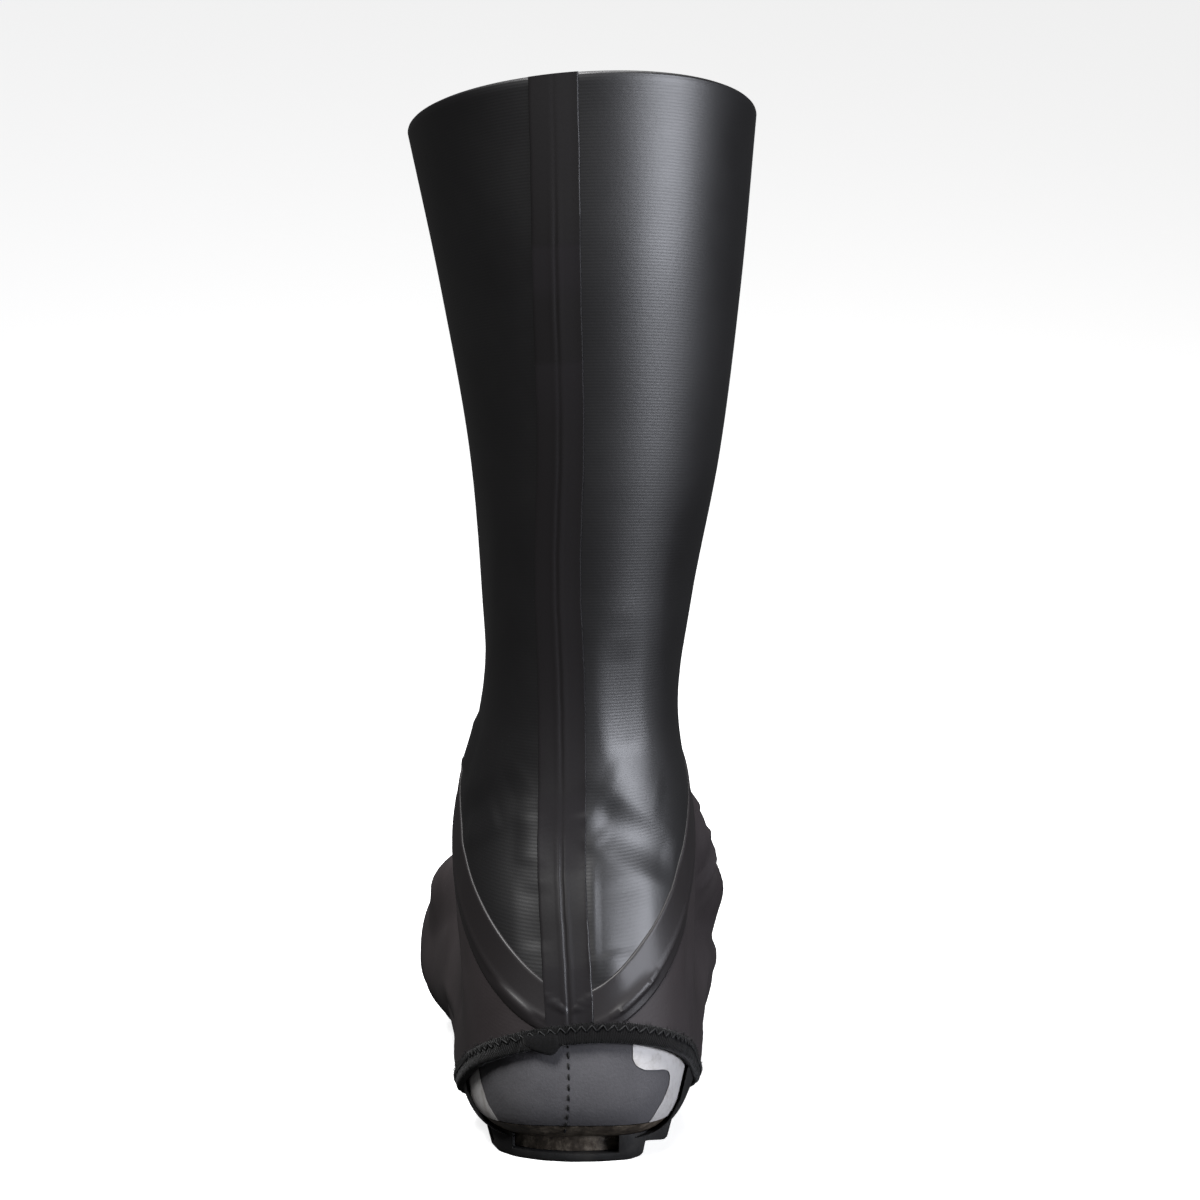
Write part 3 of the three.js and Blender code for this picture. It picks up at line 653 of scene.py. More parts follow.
angles = np.linspace(-math.pi, math.pi, ROUND, endpoint=False)
places = ring_places()
outer, _ = skin(places[:, None], angles[None, :])
inner_places = places[::3] if places[::3][-1] == places[-1] else np.append(places[::3], places[-1])
inner, _ = skin(inner_places[:, None], angles[None, :], -WALL, creased=False)
rim_step = np.linspace(0, math.pi, 7)[1:-1]
rim = [(outer[0] + inner[0]) / 2 + (outer[0] - inner[0]) / 2 * math.cos(s) + [0, 0, 0.8 * math.sin(s)]
       for s in reversed(rim_step)]
outer = np.concatenate([np.array(rim), outer])
cover = make_object("overshoe_cover", shell_mesh(
    "overshoe_cover", outer, inner,
    surface_map(None, angles, outer), surface_map(None, angles, inner)))
cut(cover, opening_cutter(BINDING_WIDTH * 0.55))


def rounded_box(x, y, width, length, corner, steps=8):
    outline = []
    for cx, cy, start in ((1, -1, -90), (1, 1, 0), (-1, 1, 90), (-1, -1, 180)):
        for k in range(steps + 1):
            turn = math.radians(start + 90 * k / steps)
            outline.append((x + cx * (width / 2 - corner) + corner * math.cos(turn),
                            y + cy * (length / 2 - corner) + corner * math.sin(turn)))
    return outline


TREAD_WIDTH, TREAD_LENGTH = 46.0, 66.0
TREAD_X, TREAD_Y = -0.035 * BALL_WIDTH, 0.50 * LENGTH
CLEAT_MARGIN = 4.0
CLEAT_CORNER = 0.12 * BALL_WIDTH
cut(cover, prism_mesh("cleat_cutter", rounded_box(
    TREAD_X, TREAD_Y, TREAD_WIDTH + 2 * CLEAT_MARGIN, TREAD_LENGTH + 2 * CLEAT_MARGIN, CLEAT_CORNER),
    -30.0, 0.14 * ANKLE_HEIGHT, 2))
describe(cover)

# %% [markdown]
# One mesh can carry two cloths: each face gets the number of its material. Faces above the ankle seam are
# film, those below are the duller cloth, and the tape will hide the stepped line between them.

# %% Two cloths on one mesh
def nearest_place_and_angle(points):
    """A rough place and angle for points near the skin, good enough to sort faces at the seam."""
    grid_places = np.linspace(0, TOE, 181)
    grid_angles = np.linspace(-math.pi, math.pi, 120, endpoint=False)
    grid = swollen_point(grid_places[:, None], grid_angles[None, :]).reshape(-1, 3)
    from mathutils.kdtree import KDTree
    tree = KDTree(len(grid))
    for i, point in enumerate(grid):
        tree.insert(point, i)
    tree.balance()
    found = np.array([tree.find(point)[1] for point in points])
    return grid_places[found // 120], grid_angles[found % 120]


cover.data.materials.clear()
for material in (film, foot_cloth):
    cover.data.materials.append(material)
centres = np.empty(len(cover.data.polygons) * 3)
cover.data.polygons.foreach_get("center", centres)
face_places, face_angles = nearest_place_and_angle(centres.reshape(-1, 3) / MM)
cover.data.polygons.foreach_set("material_index", (face_places > ankle_place(face_angles)).astype(np.int32))
crisp(cover, 50)
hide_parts("overshoe_upper")
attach(cover, "root")

# %% [markdown]
# A seam tape is a strip of film welded over the stitches. It is only half a millimetre thick, but its two
# edges catch the light and the folded seam under it shows as a double ridge with a groove. A grid of rows
# across the strip gives that profile exactly; the strip is closed below so that it is a real body.

# %% Tape helpers
def strip_mesh(name, places_grid, angles_grid, heights, bottom=0.04):
    """A closed strip on the skin. Rows run along it, columns across it."""
    top, _ = skin(places_grid, angles_grid, heights)
    base, _ = skin(places_grid, angles_grid, np.full(places_grid.shape, bottom))
    rows, count = top.shape[:2]
    ring = np.concatenate([top, base[:, ::-1]], axis=1)
    points = ring.reshape(-1, 3)
    ring_count = 2 * count
    faces = []
    for i in range(rows - 1):
        faces += band_faces(i * ring_count, (i + 1) * ring_count, ring_count)
    for start, turn in ((0, True), ((rows - 1) * ring_count, False)):
        cap = [(start + j, start + j + 1, start + ring_count - 2 - j, start + ring_count - 1 - j)
               for j in range(count - 1)]
        faces += cap if turn else turned(cap)
    mm_across = np.linspace(0, 1, count)[None, :] * 15.0
    mm_along = np.zeros((rows, 1))
    mm_along[1:, 0] = np.cumsum(np.linalg.norm(np.diff(top[:, count // 2], axis=0), axis=-1))
    flat = np.stack(np.broadcast_arrays(mm_across, mm_along), -1)
    uv = np.concatenate([flat, flat[:, ::-1]], axis=1).reshape(-1, 2)
    return make_mesh(name, points, faces, uv)


def outward(piece):
    body = bmesh.new()
    body.from_mesh(piece.data)
    bmesh.ops.remove_doubles(body, verts=body.verts, dist=1e-6)
    bmesh.ops.recalc_face_normals(body, faces=body.faces)
    body.to_mesh(piece.data)
    body.free()
    return piece


# %% [markdown]
# Welded tape is smoother than the cloth, and the press leaves bands across it: some glossy, some dull,
# with a sharp edge where the press stopped. A ramp over the length of the strip, read from its own map,
# switches between the two. The glossy bands get a lower roughness and also a lighter colour, which is a
# painted highlight. The dull bands keep the tape's own dark colour.

# %% Tape material
def tape_material(name, glossy_band_painted_highlight, dull, press_and_highlight_bands):
    material, tree, shader = new_material(name)
    coords = add_node(tree, "ShaderNodeTexCoord")
    split = add_node(tree, "ShaderNodeSeparateXYZ", links={"Vector": coords.outputs["UV"]})
    wobble = add_node(tree, "ShaderNodeTexNoise", links={"Vector": coords.outputs["Object"]},
                      inputs={"Scale": METRES_TO_MM / 9, "Detail": 3.0})
    shift = value_range(tree, wobble.outputs["Fac"], 0.0, 1.0, -1.6, 1.6)
    along = add_node(tree, "ShaderNodeMath", operation="ADD",
                     links={0: split.outputs["Y"], 1: shift})
    place = value_range(tree, along.outputs["Value"], 0.0, press_and_highlight_bands[0], 0.0, 1.0)
    node = add_node(tree, "ShaderNodeValToRGB", links={"Fac": place})
    elements = node.color_ramp.elements
    while len(elements) < len(press_and_highlight_bands[1]):
        elements.new(0.5)
    for element, (position, value) in zip(elements, press_and_highlight_bands[1]):
        element.position = position
        element.color = (value, value, value, 1)
    press_and_highlight_mark = node.outputs["Color"]
    # the glossy bands are also painted lighter here: a painted highlight in the base colour, beside their real lower
    # roughness
    colour = hex_ramp(tree, press_and_highlight_mark, ((0.0, dull), (1.0, glossy_band_painted_highlight)))
    tree.links.new(colour, shader.inputs["Base Color"])
    rough = value_range(tree, press_and_highlight_mark, 0.0, 1.0, 0.50, 0.30)
    tree.links.new(rough, shader.inputs["Roughness"])
    grain = add_node(tree, "ShaderNodeTexNoise", links={"Vector": coords.outputs["Object"]},
                     inputs={"Scale": METRES_TO_MM / 1.3, "Detail": 2.0})
    bump = add_node(tree, "ShaderNodeBump", links={"Height": grain.outputs["Fac"]},
                    inputs={"Strength": 1.0, "Distance": 0.02 * MM})
    tree.links.new(bump.outputs["Normal"], shader.inputs["Normal"])
    shader.inputs["IOR"].default_value = 1.5
    return material


# length of each tape in mm, then places along it and how glossy it is there; glossy bands are smoother and painted
# lighter, a painted highlight
BACK_TAPE_PRESS_AND_HIGHLIGHT_BANDS = (300.0, ((0.0, 0.1), (0.10, 0.2), (0.112, 0.05), (0.165, 0.1), (0.172, 0.95), (0.212, 0.8),
                           (0.228, 0.15), (0.285, 0.1), (0.292, 0.85), (0.335, 0.55), (0.36, 0.3),
                           (0.55, 0.45), (0.74, 0.5), (0.755, 0.95), (0.82, 0.7), (0.83, 0.2), (0.92, 0.3),
                           (0.93, 0.75), (1.0, 0.6)))
ANKLE_TAPE_PRESS_AND_HIGHLIGHT_BANDS = (170.0, ((0.0, 0.2), (0.12, 0.3), (0.3, 0.25), (0.32, 0.6), (0.36, 0.2), (1.0, 0.3)))
# the first colour is the painted highlight of the glossy bands, the second the tape's own dull colour
back_tape_film = tape_material("welded_seam_tape", "#242224", "#151314", BACK_TAPE_PRESS_AND_HIGHLIGHT_BANDS)
ankle_tape_film = tape_material("welded_ankle_tape", "#272425", "#201d1e", ANKLE_TAPE_PRESS_AND_HIGHLIGHT_BANDS)

# %% [markdown]
# The back tape runs from just above the rim to the binding. Across it, the height goes from a thin edge
# to the flat, up to the double ridge with its groove, and down again.

# %% Back tape
# share of half the width, height in mm
BACK_PROFILE = ((-1.0, 0.06), (-0.99, 0.34), (-0.95, 0.50), (-0.85, 0.50), (-0.55, 0.50), (-0.36, 0.52),
                (-0.28, 0.60), (-0.20, 0.76), (-0.13, 0.80), (-0.08, 0.70), (-0.03, 0.46), (0.02, 0.46),
                (0.07, 0.70), (0.12, 0.80), (0.19, 0.72), (0.27, 0.58), (0.36, 0.50), (0.60, 0.46),
                (0.84, 0.48), (0.92, 0.66), (0.96, 0.70), (0.99, 0.40), (1.0, 0.06))


def back_tape_end():
    """The place down the back where the binding's upper edge begins."""
    tries = np.linspace(6.0, 8.0, 400)
    distance = edge_distance(swollen_point(tries, back_tape_angle(tries)))
    return tries[np.argmax(distance < BINDING_WIDTH - 1.0)]


shares, profile = np.array(BACK_PROFILE).T
tape_places = np.linspace(0.0, back_tape_end(), 420)
middle_angle = back_tape_angle(tape_places)
half_angle = TAPE_WIDTH / 2 * per_millimetre(tape_places, middle_angle, along=False)
wander = 0.16 * np.sin(tape_places * 4.3) + 0.05 * np.sin(tape_places * 17.7 + 1.0)
edge_angle = middle_angle[:, None] + shares[None, :] * half_angle[:, None]
edge_angle += (wander * half_angle / (TAPE_WIDTH / 2))[:, None]
# how clearly the seam shows through the tape, from the rim down to the binding
SEAM_SHOWS = (0.2, 0.4, 1.0, 0.6, 1.0, 1.1, 0.9, 1.0, 0.8, 0.4, 1.1, 1.2, 1.0, 0.7)
ridge = smooth(SEAM_SHOWS, tape_places / tape_places[-1] * (len(SEAM_SHOWS) - 1))
heights = 0.5 + (profile[None, :] - 0.5) * np.where(np.abs(shares) < 0.4, ridge[:, None], 1.0)
tape_grid = np.broadcast_to(tape_places[:, None], edge_angle.shape)
back_tape = make_object("seam_tape_back_film", strip_mesh("seam_tape_back_film", tape_grid, edge_angle, heights))
outward(back_tape)
TAPE_LIP = 1.0
for vertex in back_tape.data.vertices:
    above = smooth(np.array([0.0, 1.0]), np.clip((vertex.co.z / MM - 328.0) / 12.0, 0, 1) * 1.0)
    vertex.co.z += float(above) * TAPE_LIP * MM
back_tape.data.materials.append(back_tape_film)
crisp(back_tape, 60)
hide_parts("seam_tape_back")
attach(back_tape, "root")
describe(back_tape)

# %% [markdown]
# The ankle tapes leave the back tape at the heel and rise round each side to the front. They are one
# function with the side as its input, because the two are alike.

# %% Ankle tapes
# share of half the width from the upper edge (-1) to the lower (1), height in mm
ANKLE_PROFILE = ((-1.0, 0.10), (-0.96, 0.45), (-0.90, 0.58), (-0.80, 0.52), (-0.30, 0.50), (0.10, 0.52),
                 (0.30, 0.66), (0.42, 0.95), (0.54, 0.70), (0.68, 0.50), (0.88, 0.46), (0.96, 0.36), (1.0, 0.08))


def ankle_tape(side, name, node):
    shares, profile = np.array(ANKLE_PROFILE).T
    turns = side * math.pi * np.linspace(0, 1, 300)
    middle = ankle_place(turns)
    step = 1e-3
    centre = swollen_point(middle, turns)
    down = (swollen_point(middle + step, turns) - centre) / step
    round_leg = (swollen_point(middle, turns + step) - centre) / step
    course = np.gradient(centre, axis=0)
    course /= np.linalg.norm(course, axis=1, keepdims=True)
    down_square = down - (down * course).sum(1, keepdims=True) * course
    down_square /= np.linalg.norm(down_square, axis=1, keepdims=True)
    # solve for the steps of place and angle that go square across the tape
    dd, da, aa = (down * down).sum(1), (down * round_leg).sum(1), (round_leg * round_leg).sum(1)
    sd, sa = (down_square * down).sum(1), (down_square * round_leg).sum(1)
    determinant = dd * aa - da * da
    place_step = (sd * aa - sa * da) / determinant
    angle_step = (sa * dd - sd * da) / determinant
    offsets = ANKLE_TAPE_RISE + (shares + 1) / 2 * ANKLE_TAPE_WIDTH
    places_grid = middle[:, None] + offsets[None, :] * place_step[:, None]
    angles_grid = turns[:, None] + offsets[None, :] * angle_step[:, None]
    edge = back_tape_angle(places_grid)
    start = edge + side * (TAPE_WIDTH / 2 - 0.2) * per_millimetre(places_grid, edge, along=False)
    past = side * (angles_grid - start)
    # each column starts where it meets the back tape
    for column in range(len(shares)):
        first = np.interp(0.0, past[:60, column], np.arange(60))
        samples = np.linspace(first, len(turns) - 1, len(turns))
        places_grid[:, column] = np.interp(samples, np.arange(len(turns)), places_grid[:, column])
        angles_grid[:, column] = np.interp(samples, np.arange(len(turns)), angles_grid[:, column])
    heights = np.broadcast_to(profile[None, :], angles_grid.shape)
    piece = make_object(name, strip_mesh(name, places_grid, angles_grid, heights))
    outward(piece)
    cut(piece, opening_cutter(BINDING_WIDTH - 1.0))
    piece.data.materials.clear()
    piece.data.materials.append(ankle_tape_film)
    crisp(piece, 60)
    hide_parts(node)
    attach(piece, "root")
    describe(piece)
    return piece


ankle_tape(1, "ankle_tape_outer_side", "seam_tape_ankle_lateral")
ankle_tape(-1, "ankle_tape_inner_side", "seam_tape_ankle_medial")

# %% [markdown]
# The binding is a folded elastic ribbon sewn over the edge of the heel opening. In section it lies on the
# outside of the wall, rolls round the edge and comes back on the inside. The section is drawn once, as
# margins from the edge and heights over the skin, and carried round the opening.

# %% Binding
# margin from the edge in mm, height over the skin in mm; from the outer upper edge round to the inner one
BINDING_SECTION = ((6.3, 0.12), (6.15, 0.62), (5.7, 0.98), (5.0, 1.02), (4.3, 0.86), (3.6, 0.95), (2.4, 1.10),
                   (1.2, 1.12), (0.35, 0.95), (-0.15, 0.45), (-0.35, -0.35), (-0.28, -1.15), (0.1, -1.75),
                   (0.9, -2.02), (3.0, -2.05), (5.6, -2.05), (5.8, -1.6), (5.9, -0.6))
AROUND = 540


def binding_mesh():
    rings = []
    sway = np.arange(AROUND) * 2 * math.pi / AROUND
    for margin, height in BINDING_SECTION:
        place, angle = opening_loop(margin, AROUND)
        wave = 0.10 * np.sin(31 * sway) + 0.08 * np.sin(57 * sway + 2.0) if height > 0.3 else 0.0
        points, _ = skin(place, angle, height + wave, creased=False)
        rings.append(points)
    ring = np.stack(rings, 1)
    count = len(BINDING_SECTION)
    faces = []
    for i in range(AROUND):
        faces += band_faces(i * count, (i + 1) % AROUND * count, count)
    along = np.zeros(AROUND)
    along[1:] = np.cumsum(np.linalg.norm(np.diff(ring[:, 6], axis=0), axis=-1))
    across = np.cumsum([0] + [math.dist(a, b) for a, b in zip(BINDING_SECTION, BINDING_SECTION[1:])])
    uv = np.stack(np.broadcast_arrays(across[None, :], along[:, None]), -1).reshape(-1, 2)
    return make_mesh("heel_binding_elastic", ring.reshape(-1, 3), faces, uv)


def elastic_material():
    material, tree, shader = new_material("woven_elastic_ribbon")
    coords = add_node(tree, "ShaderNodeTexCoord")
    thread_mm = 0.8
    rows = add_node(tree, "ShaderNodeTexWave", links={"Vector": coords.outputs["UV"]},
                    inputs={"Scale": 2 * math.pi / (20 * thread_mm), "Distortion": 1.5, "Detail": 2.0},
                    wave_type="BANDS", bands_direction="Y")
    fibres = add_node(tree, "ShaderNodeTexNoise", links={"Vector": coords.outputs["Object"]},
                      inputs={"Scale": METRES_TO_MM / 0.7, "Detail": 4.0, "Roughness": 0.7})
    colour = hex_ramp(tree, fibres.outputs["Fac"], ((0.35, "#030303"), (0.75, "#100f10")))
    tree.links.new(colour, shader.inputs["Base Color"])
    weave = add_node(tree, "ShaderNodeBump", links={"Height": rows.outputs["Fac"]},
                     inputs={"Strength": 1.0, "Distance": 0.16 * MM})
    fuzz = add_node(tree, "ShaderNodeBump",
                    links={"Height": fibres.outputs["Fac"], "Normal": weave.outputs["Normal"]},
                    inputs={"Strength": 1.0, "Distance": 0.22 * MM})
    tree.links.new(fuzz.outputs["Normal"], shader.inputs["Normal"])
    shader.inputs["Roughness"].default_value = 0.95
    shader.inputs["Specular IOR Level"].default_value = 0.2
    shader.inputs["Sheen Weight"].default_value = 0.12
    shader.inputs["Sheen Roughness"].default_value = 0.5
    return material


elastic = elastic_material()
binding = outward(make_object("heel_binding_elastic", binding_mesh()))
binding.data.materials.append(elastic)
crisp(binding, 80)
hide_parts("heel_binding")
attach(binding, "root")
describe(binding)

# %% [markdown]
# Inside the opening the bare heel of the shoe shows: a grey microfibre counter over a stiff cup. It uses
# the same skin a little further in, so the cover fits the shoe like a real one, with no gap to guess.

# %% Shoe upper
SHOE_MOUTH = 0.303 * TOE
SOLE_LINE = ((-0.20, 0.105), (-0.05, 0.087), (0.05, 0.090), (0.20, 0.125), (0.30, 0.125), (0.42, 0.098),
             (0.55, 0.095), (0.65, 0.108), (0.74, 0.142), (0.82, 0.190), (0.90, 0.275))


def below_sole_line(lift=0.0):
    shares = np.array(SOLE_LINE) * (LENGTH, ANKLE_HEIGHT)
    line = smooth(shares, np.linspace(0, len(shares) - 1, 60)) + [0, lift]
    outline = np.concatenate([line, [[line[-1][0], -60.0], [line[0][0], -60.0]]])
    return prism_mesh("sole_line_cutter", outline, -150.0, 150.0, 0)


def shoe_rings(depth, count, start=SHOE_MOUTH, rows=120):
    spans = np.concatenate([np.linspace(start, TOE - 1, rows, endpoint=False), np.linspace(TOE - 1, TOE, 8)])
    turns = np.linspace(-math.pi, math.pi, count, endpoint=False)
    return skin(spans[:, None], turns[None, :], -depth, creased=False)[0]


def shoe_shell(name, outside, inside, count, rows):
    out_rings, in_rings = shoe_rings(outside, count, rows=rows), shoe_rings(inside, count, rows=rows)
    blank = np.zeros(out_rings.shape[:2] + (2,))
    return make_object(name, shell_mesh(name, out_rings, in_rings, blank, blank))


def microfibre_material():
    material, tree, shader = new_material("grey_microfibre")
    coords = add_node(tree, "ShaderNodeTexCoord")
    grain = add_node(tree, "ShaderNodeTexNoise", links={"Vector": coords.outputs["Object"]},
                     inputs={"Scale": METRES_TO_MM / 0.9, "Detail": 4.0, "Roughness": 0.65})
    clouds = add_node(tree, "ShaderNodeTexNoise", links={"Vector": coords.outputs["Object"]},
                      inputs={"Scale": METRES_TO_MM / 22, "Detail": 3.0})
    mixed = add_node(tree, "ShaderNodeMath", operation="ADD",
                     links={0: value_range(tree, grain.outputs["Fac"], 0.3, 0.7, 0.0, 0.35),
                            1: value_range(tree, clouds.outputs["Fac"], 0.3, 0.7, 0.0, 0.65)})
    colour = hex_ramp(tree, mixed.outputs["Value"], ((0.2, "#4b4a4d"), (0.9, "#5a595c")))
    tree.links.new(colour, shader.inputs["Base Color"])
    bump = add_node(tree, "ShaderNodeBump", links={"Height": grain.outputs["Fac"]},
                    inputs={"Strength": 1.0, "Distance": 0.12 * MM})
    tree.links.new(bump.outputs["Normal"], shader.inputs["Normal"])
    shader.inputs["Roughness"].default_value = 0.78
    shader.inputs["Specular IOR Level"].default_value = 0.35
    return material


microfibre = microfibre_material()
shoe = shoe_shell("shoe_upper_microfibre", SHOE_DEPTH, SHOE_DEPTH + SHOE_WALL, 144, 130)
cut(shoe, below_sole_line(0.3))
shoe.data.materials.clear()
shoe.data.materials.append(microfibre)
crisp(shoe, 40)
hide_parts("shoe_upper")
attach(shoe, "root")
describe(shoe)

# %% [markdown]
# Two white plates lie on the sides of the counter. Each is a thin slice of the same skin, cut by an
# outline seen from behind, so it wraps round the heel the way a moulded plate does.

# %% Heel trims
# X and Z in mm, seen from behind; the last two points lie outside the shoe
TRIM_OUTLINES = {
    "lateral": ((17.3, 57.0), (17.3, 35.4), (18.4, 33.2), (20.8, 31.6), (27.2, 30.3), (28.7, 29.2), (29.2, 27.0),
                (28.9, 24.2), (27.0, 20.0), (23.3, 14.2), (18.4, 8.0), (24.6, 8.4), (29.0, 11.6), (32.6, 17.0),
                (34.4, 23.5), (60.0, 31.0), (60.0, 57.0)),
    "medial": ((-22.4, 57.0), (-22.4, 36.6), (-23.4, 34.9), (-25.5, 34.3), (-29.0, 35.2), (-31.4, 34.6),
               (-32.0, 32.6), (-31.6, 29.0), (-30.8, 24.5), (-28.5, 18.1), (-25.4, 13.2), (-20.5, 8.2),
               (-22.6, 7.0), (-29.3, 9.2), (-33.0, 13.6), (-35.6, 18.2), (-36.5, 23.6), (-60.0, 31.0),
               (-60.0, 57.0)),
}


def rounded_outline(outline, radius, steps=6):
    """The outline with each corner turned into a short curve."""
    points = np.asarray(outline, float)
    result = []
    for i, corner in enumerate(points):
        before, after = points[i - 1], points[(i + 1) % len(points)]
        a = corner + (before - corner) * min(0.45, radius / np.linalg.norm(before - corner))
        b = corner + (after - corner) * min(0.45, radius / np.linalg.norm(after - corner))
        for t in np.linspace(0, 1, steps):
            result.append((1 - t)**2 * a + 2 * t * (1 - t) * corner + t**2 * b)
    return result


def trim_material():
    material, tree, shader = new_material("white_moulded_plastic")
    coords = add_node(tree, "ShaderNodeTexCoord")
    dirt = add_node(tree, "ShaderNodeTexNoise", links={"Vector": coords.outputs["Object"]},
                    inputs={"Scale": METRES_TO_MM / 6, "Detail": 6.0, "Roughness": 0.7})
    colour = hex_ramp(tree, dirt.outputs["Fac"], ((0.32, "#a8a4a0"), (0.5, "#c6c4c3"), (0.7, "#cfcdcc")))
    tree.links.new(colour, shader.inputs["Base Color"])
    bump = add_node(tree, "ShaderNodeBump", links={"Height": dirt.outputs["Fac"]},
                    inputs={"Strength": 1.0, "Distance": 0.05 * MM})
    tree.links.new(bump.outputs["Normal"], shader.inputs["Normal"])
    shader.inputs["Roughness"].default_value = 0.38
    return material


white_plastic = trim_material()
for side, outline in TRIM_OUTLINES.items():
    trim = shoe_shell(f"heel_trim_{side}_plate", SHOE_DEPTH - 0.28, SHOE_DEPTH + 1.0, 200, 150)
    cut(trim, prism_mesh("trim_cutter", rounded_outline(outline, 0.8), -60.0, 5.8, 1), "INTERSECT")
    cut(trim, below_sole_line(0.3))
    trim.data.materials.clear()
    trim.data.materials.append(white_plastic)
    crisp(trim, 40)
    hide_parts(f"heel_trim_{side}")
    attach(trim, "root")
    describe(trim)

# %% [markdown]
# The sole is a moulded plate with a heel block below it. A plate is easiest as the lower slice of a filled
# shoe, cut along the line where the upper ends, joined with the block.

# %% Outsole
HEEL_BLOCK_WIDTH, HEEL_BLOCK_LENGTH = 52.0, 54.0
PAD_WIDTH, PAD_LENGTH, PAD_THICKNESS, LUG_HEIGHT, LUG_GAP = 63.0, 60.0, 2.7, 12.5, 7.0


def scuffed_plate_material():
    material, tree, shader = new_material("scuffed_nylon_plate")
    coords = add_node(tree, "ShaderNodeTexCoord")
    grit = add_node(tree, "ShaderNodeTexNoise", links={"Vector": coords.outputs["Object"]},
                    inputs={"Scale": METRES_TO_MM / 4, "Detail": 8.0, "Roughness": 0.75})
    specks = add_node(tree, "ShaderNodeTexVoronoi", links={"Vector": coords.outputs["Object"]},
                      inputs={"Scale": METRES_TO_MM / 2.2})
    colour = hex_ramp(tree, grit.outputs["Fac"],
                      ((0.3, "#1d1916"), (0.48, "#4a4239"), (0.6, "#6f665a"), (0.75, "#9c9386")))
    tree.links.new(colour, shader.inputs["Base Color"])
    bump = add_node(tree, "ShaderNodeBump", links={"Height": specks.outputs["Distance"]},
                    inputs={"Strength": 0.6, "Distance": 0.3 * MM})
    tree.links.new(bump.outputs["Normal"], shader.inputs["Normal"])
    tree.links.new(value_range(tree, grit.outputs["Fac"], 0.3, 0.7, 0.32, 0.62), shader.inputs["Roughness"])
    return material


def rubber_material():
    material, tree, shader = new_material("moulded_black_rubber")
    coords = add_node(tree, "ShaderNodeTexCoord")
    grain = add_node(tree, "ShaderNodeTexNoise", links={"Vector": coords.outputs["Object"]},
                     inputs={"Scale": METRES_TO_MM / 1.2, "Detail": 5.0, "Roughness": 0.6})
    dust = add_node(tree, "ShaderNodeTexNoise", links={"Vector": coords.outputs["Object"]},
                    inputs={"Scale": METRES_TO_MM / 14, "Detail": 6.0, "Roughness": 0.7})
    colour = hex_ramp(tree, dust.outputs["Fac"], ((0.45, "#121213"), (0.75, "#2c2a28")))
    tree.links.new(colour, shader.inputs["Base Color"])
    bump = add_node(tree, "ShaderNodeBump", links={"Height": grain.outputs["Fac"]},
                    inputs={"Strength": 1.0, "Distance": 0.12 * MM})
    tree.links.new(bump.outputs["Normal"], shader.inputs["Normal"])
    shader.inputs["Roughness"].default_value = 0.72
    return material


scuffed_plate = scuffed_plate_material()
rubber = rubber_material()
sole = make_object("outsole_plate", solid_mesh("outsole_plate", shoe_rings(SHOE_DEPTH, 120)))
cut(sole, below_sole_line(), "INTERSECT")
# corner points of the block seen from above, in mm
BLOCK_OUTLINE = ((-25.5, -3.0), (-23.5, -10.5), (-18.5, -16.5), (-11.0, -20.6), (-3.0, -22.4), (6.5, -21.8),
                 (14.0, -19.4), (18.0, -15.0), (19.0, 4.0), (26.0, 6.0), (26.0, 14.0), (21.0, 22.0), (8.0, 25.0),
                 (-8.0, 25.0), (-21.0, 22.0), (-26.0, 14.0))
block_outline = rounded_outline(BLOCK_OUTLINE, 2.0)
heel_block = make_object("heel_block", prism_mesh("heel_block", block_outline, PAD_THICKNESS + 0.1, 12.0, 2))
cut(heel_block, below_sole_line(-0.1), "INTERSECT")
cut(sole, heel_block.data, "UNION")
bpy.data.objects.remove(heel_block)
sole.data.materials.clear()
sole.data.materials.append(scuffed_plate)
crisp(sole, 35)
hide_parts("outsole")
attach(sole, "root")
describe(sole)

# %% [markdown]
# The rubber also climbs the sides of the heel as a low wall that hides the glue line. It stands a
# millimetre proud of the white plates, and from behind it shows as a thin black edge under them.

# %% Side walls of the sole
WALL_OUTLINES = {
    "outer": ((17.0, 3.0), (18.4, 7.6), (24.6, 8.4), (29.0, 11.6), (32.6, 17.0), (34.4, 23.5), (36.5, 29.0),
              (60.0, 31.0), (60.0, 3.0)),
    "inner": ((-19.0, 3.0), (-20.5, 6.6), (-29.3, 9.2), (-33.0, 13.6), (-35.6, 18.2), (-36.5, 23.6),
              (-38.0, 29.0), (-60.0, 31.0), (-60.0, 3.0)),
}
for side, outline in WALL_OUTLINES.items():
    wall = shoe_shell(f"sole_side_wall_{side}", SHOE_DEPTH - 1.6, SHOE_DEPTH + 1.2, 200, 150)
    cut(wall, prism_mesh("wall_cutter", rounded_outline(outline, 0.8), -60.0, 24.0, 1), "INTERSECT")
    wall.data.materials.clear()
    wall.data.materials.append(rubber)
    crisp(wall, 40)
    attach(wall, "root")
    describe(wall)

# %% [markdown]
# A rubber pad under the heel takes the wear of walking. It is one moulding: a flat tread, and lugs that
# climb round the heel block with notches between them.

# %% Heel pad
def filled_shoe(depth, name):
    return solid_mesh(name, shoe_rings(depth, 120))


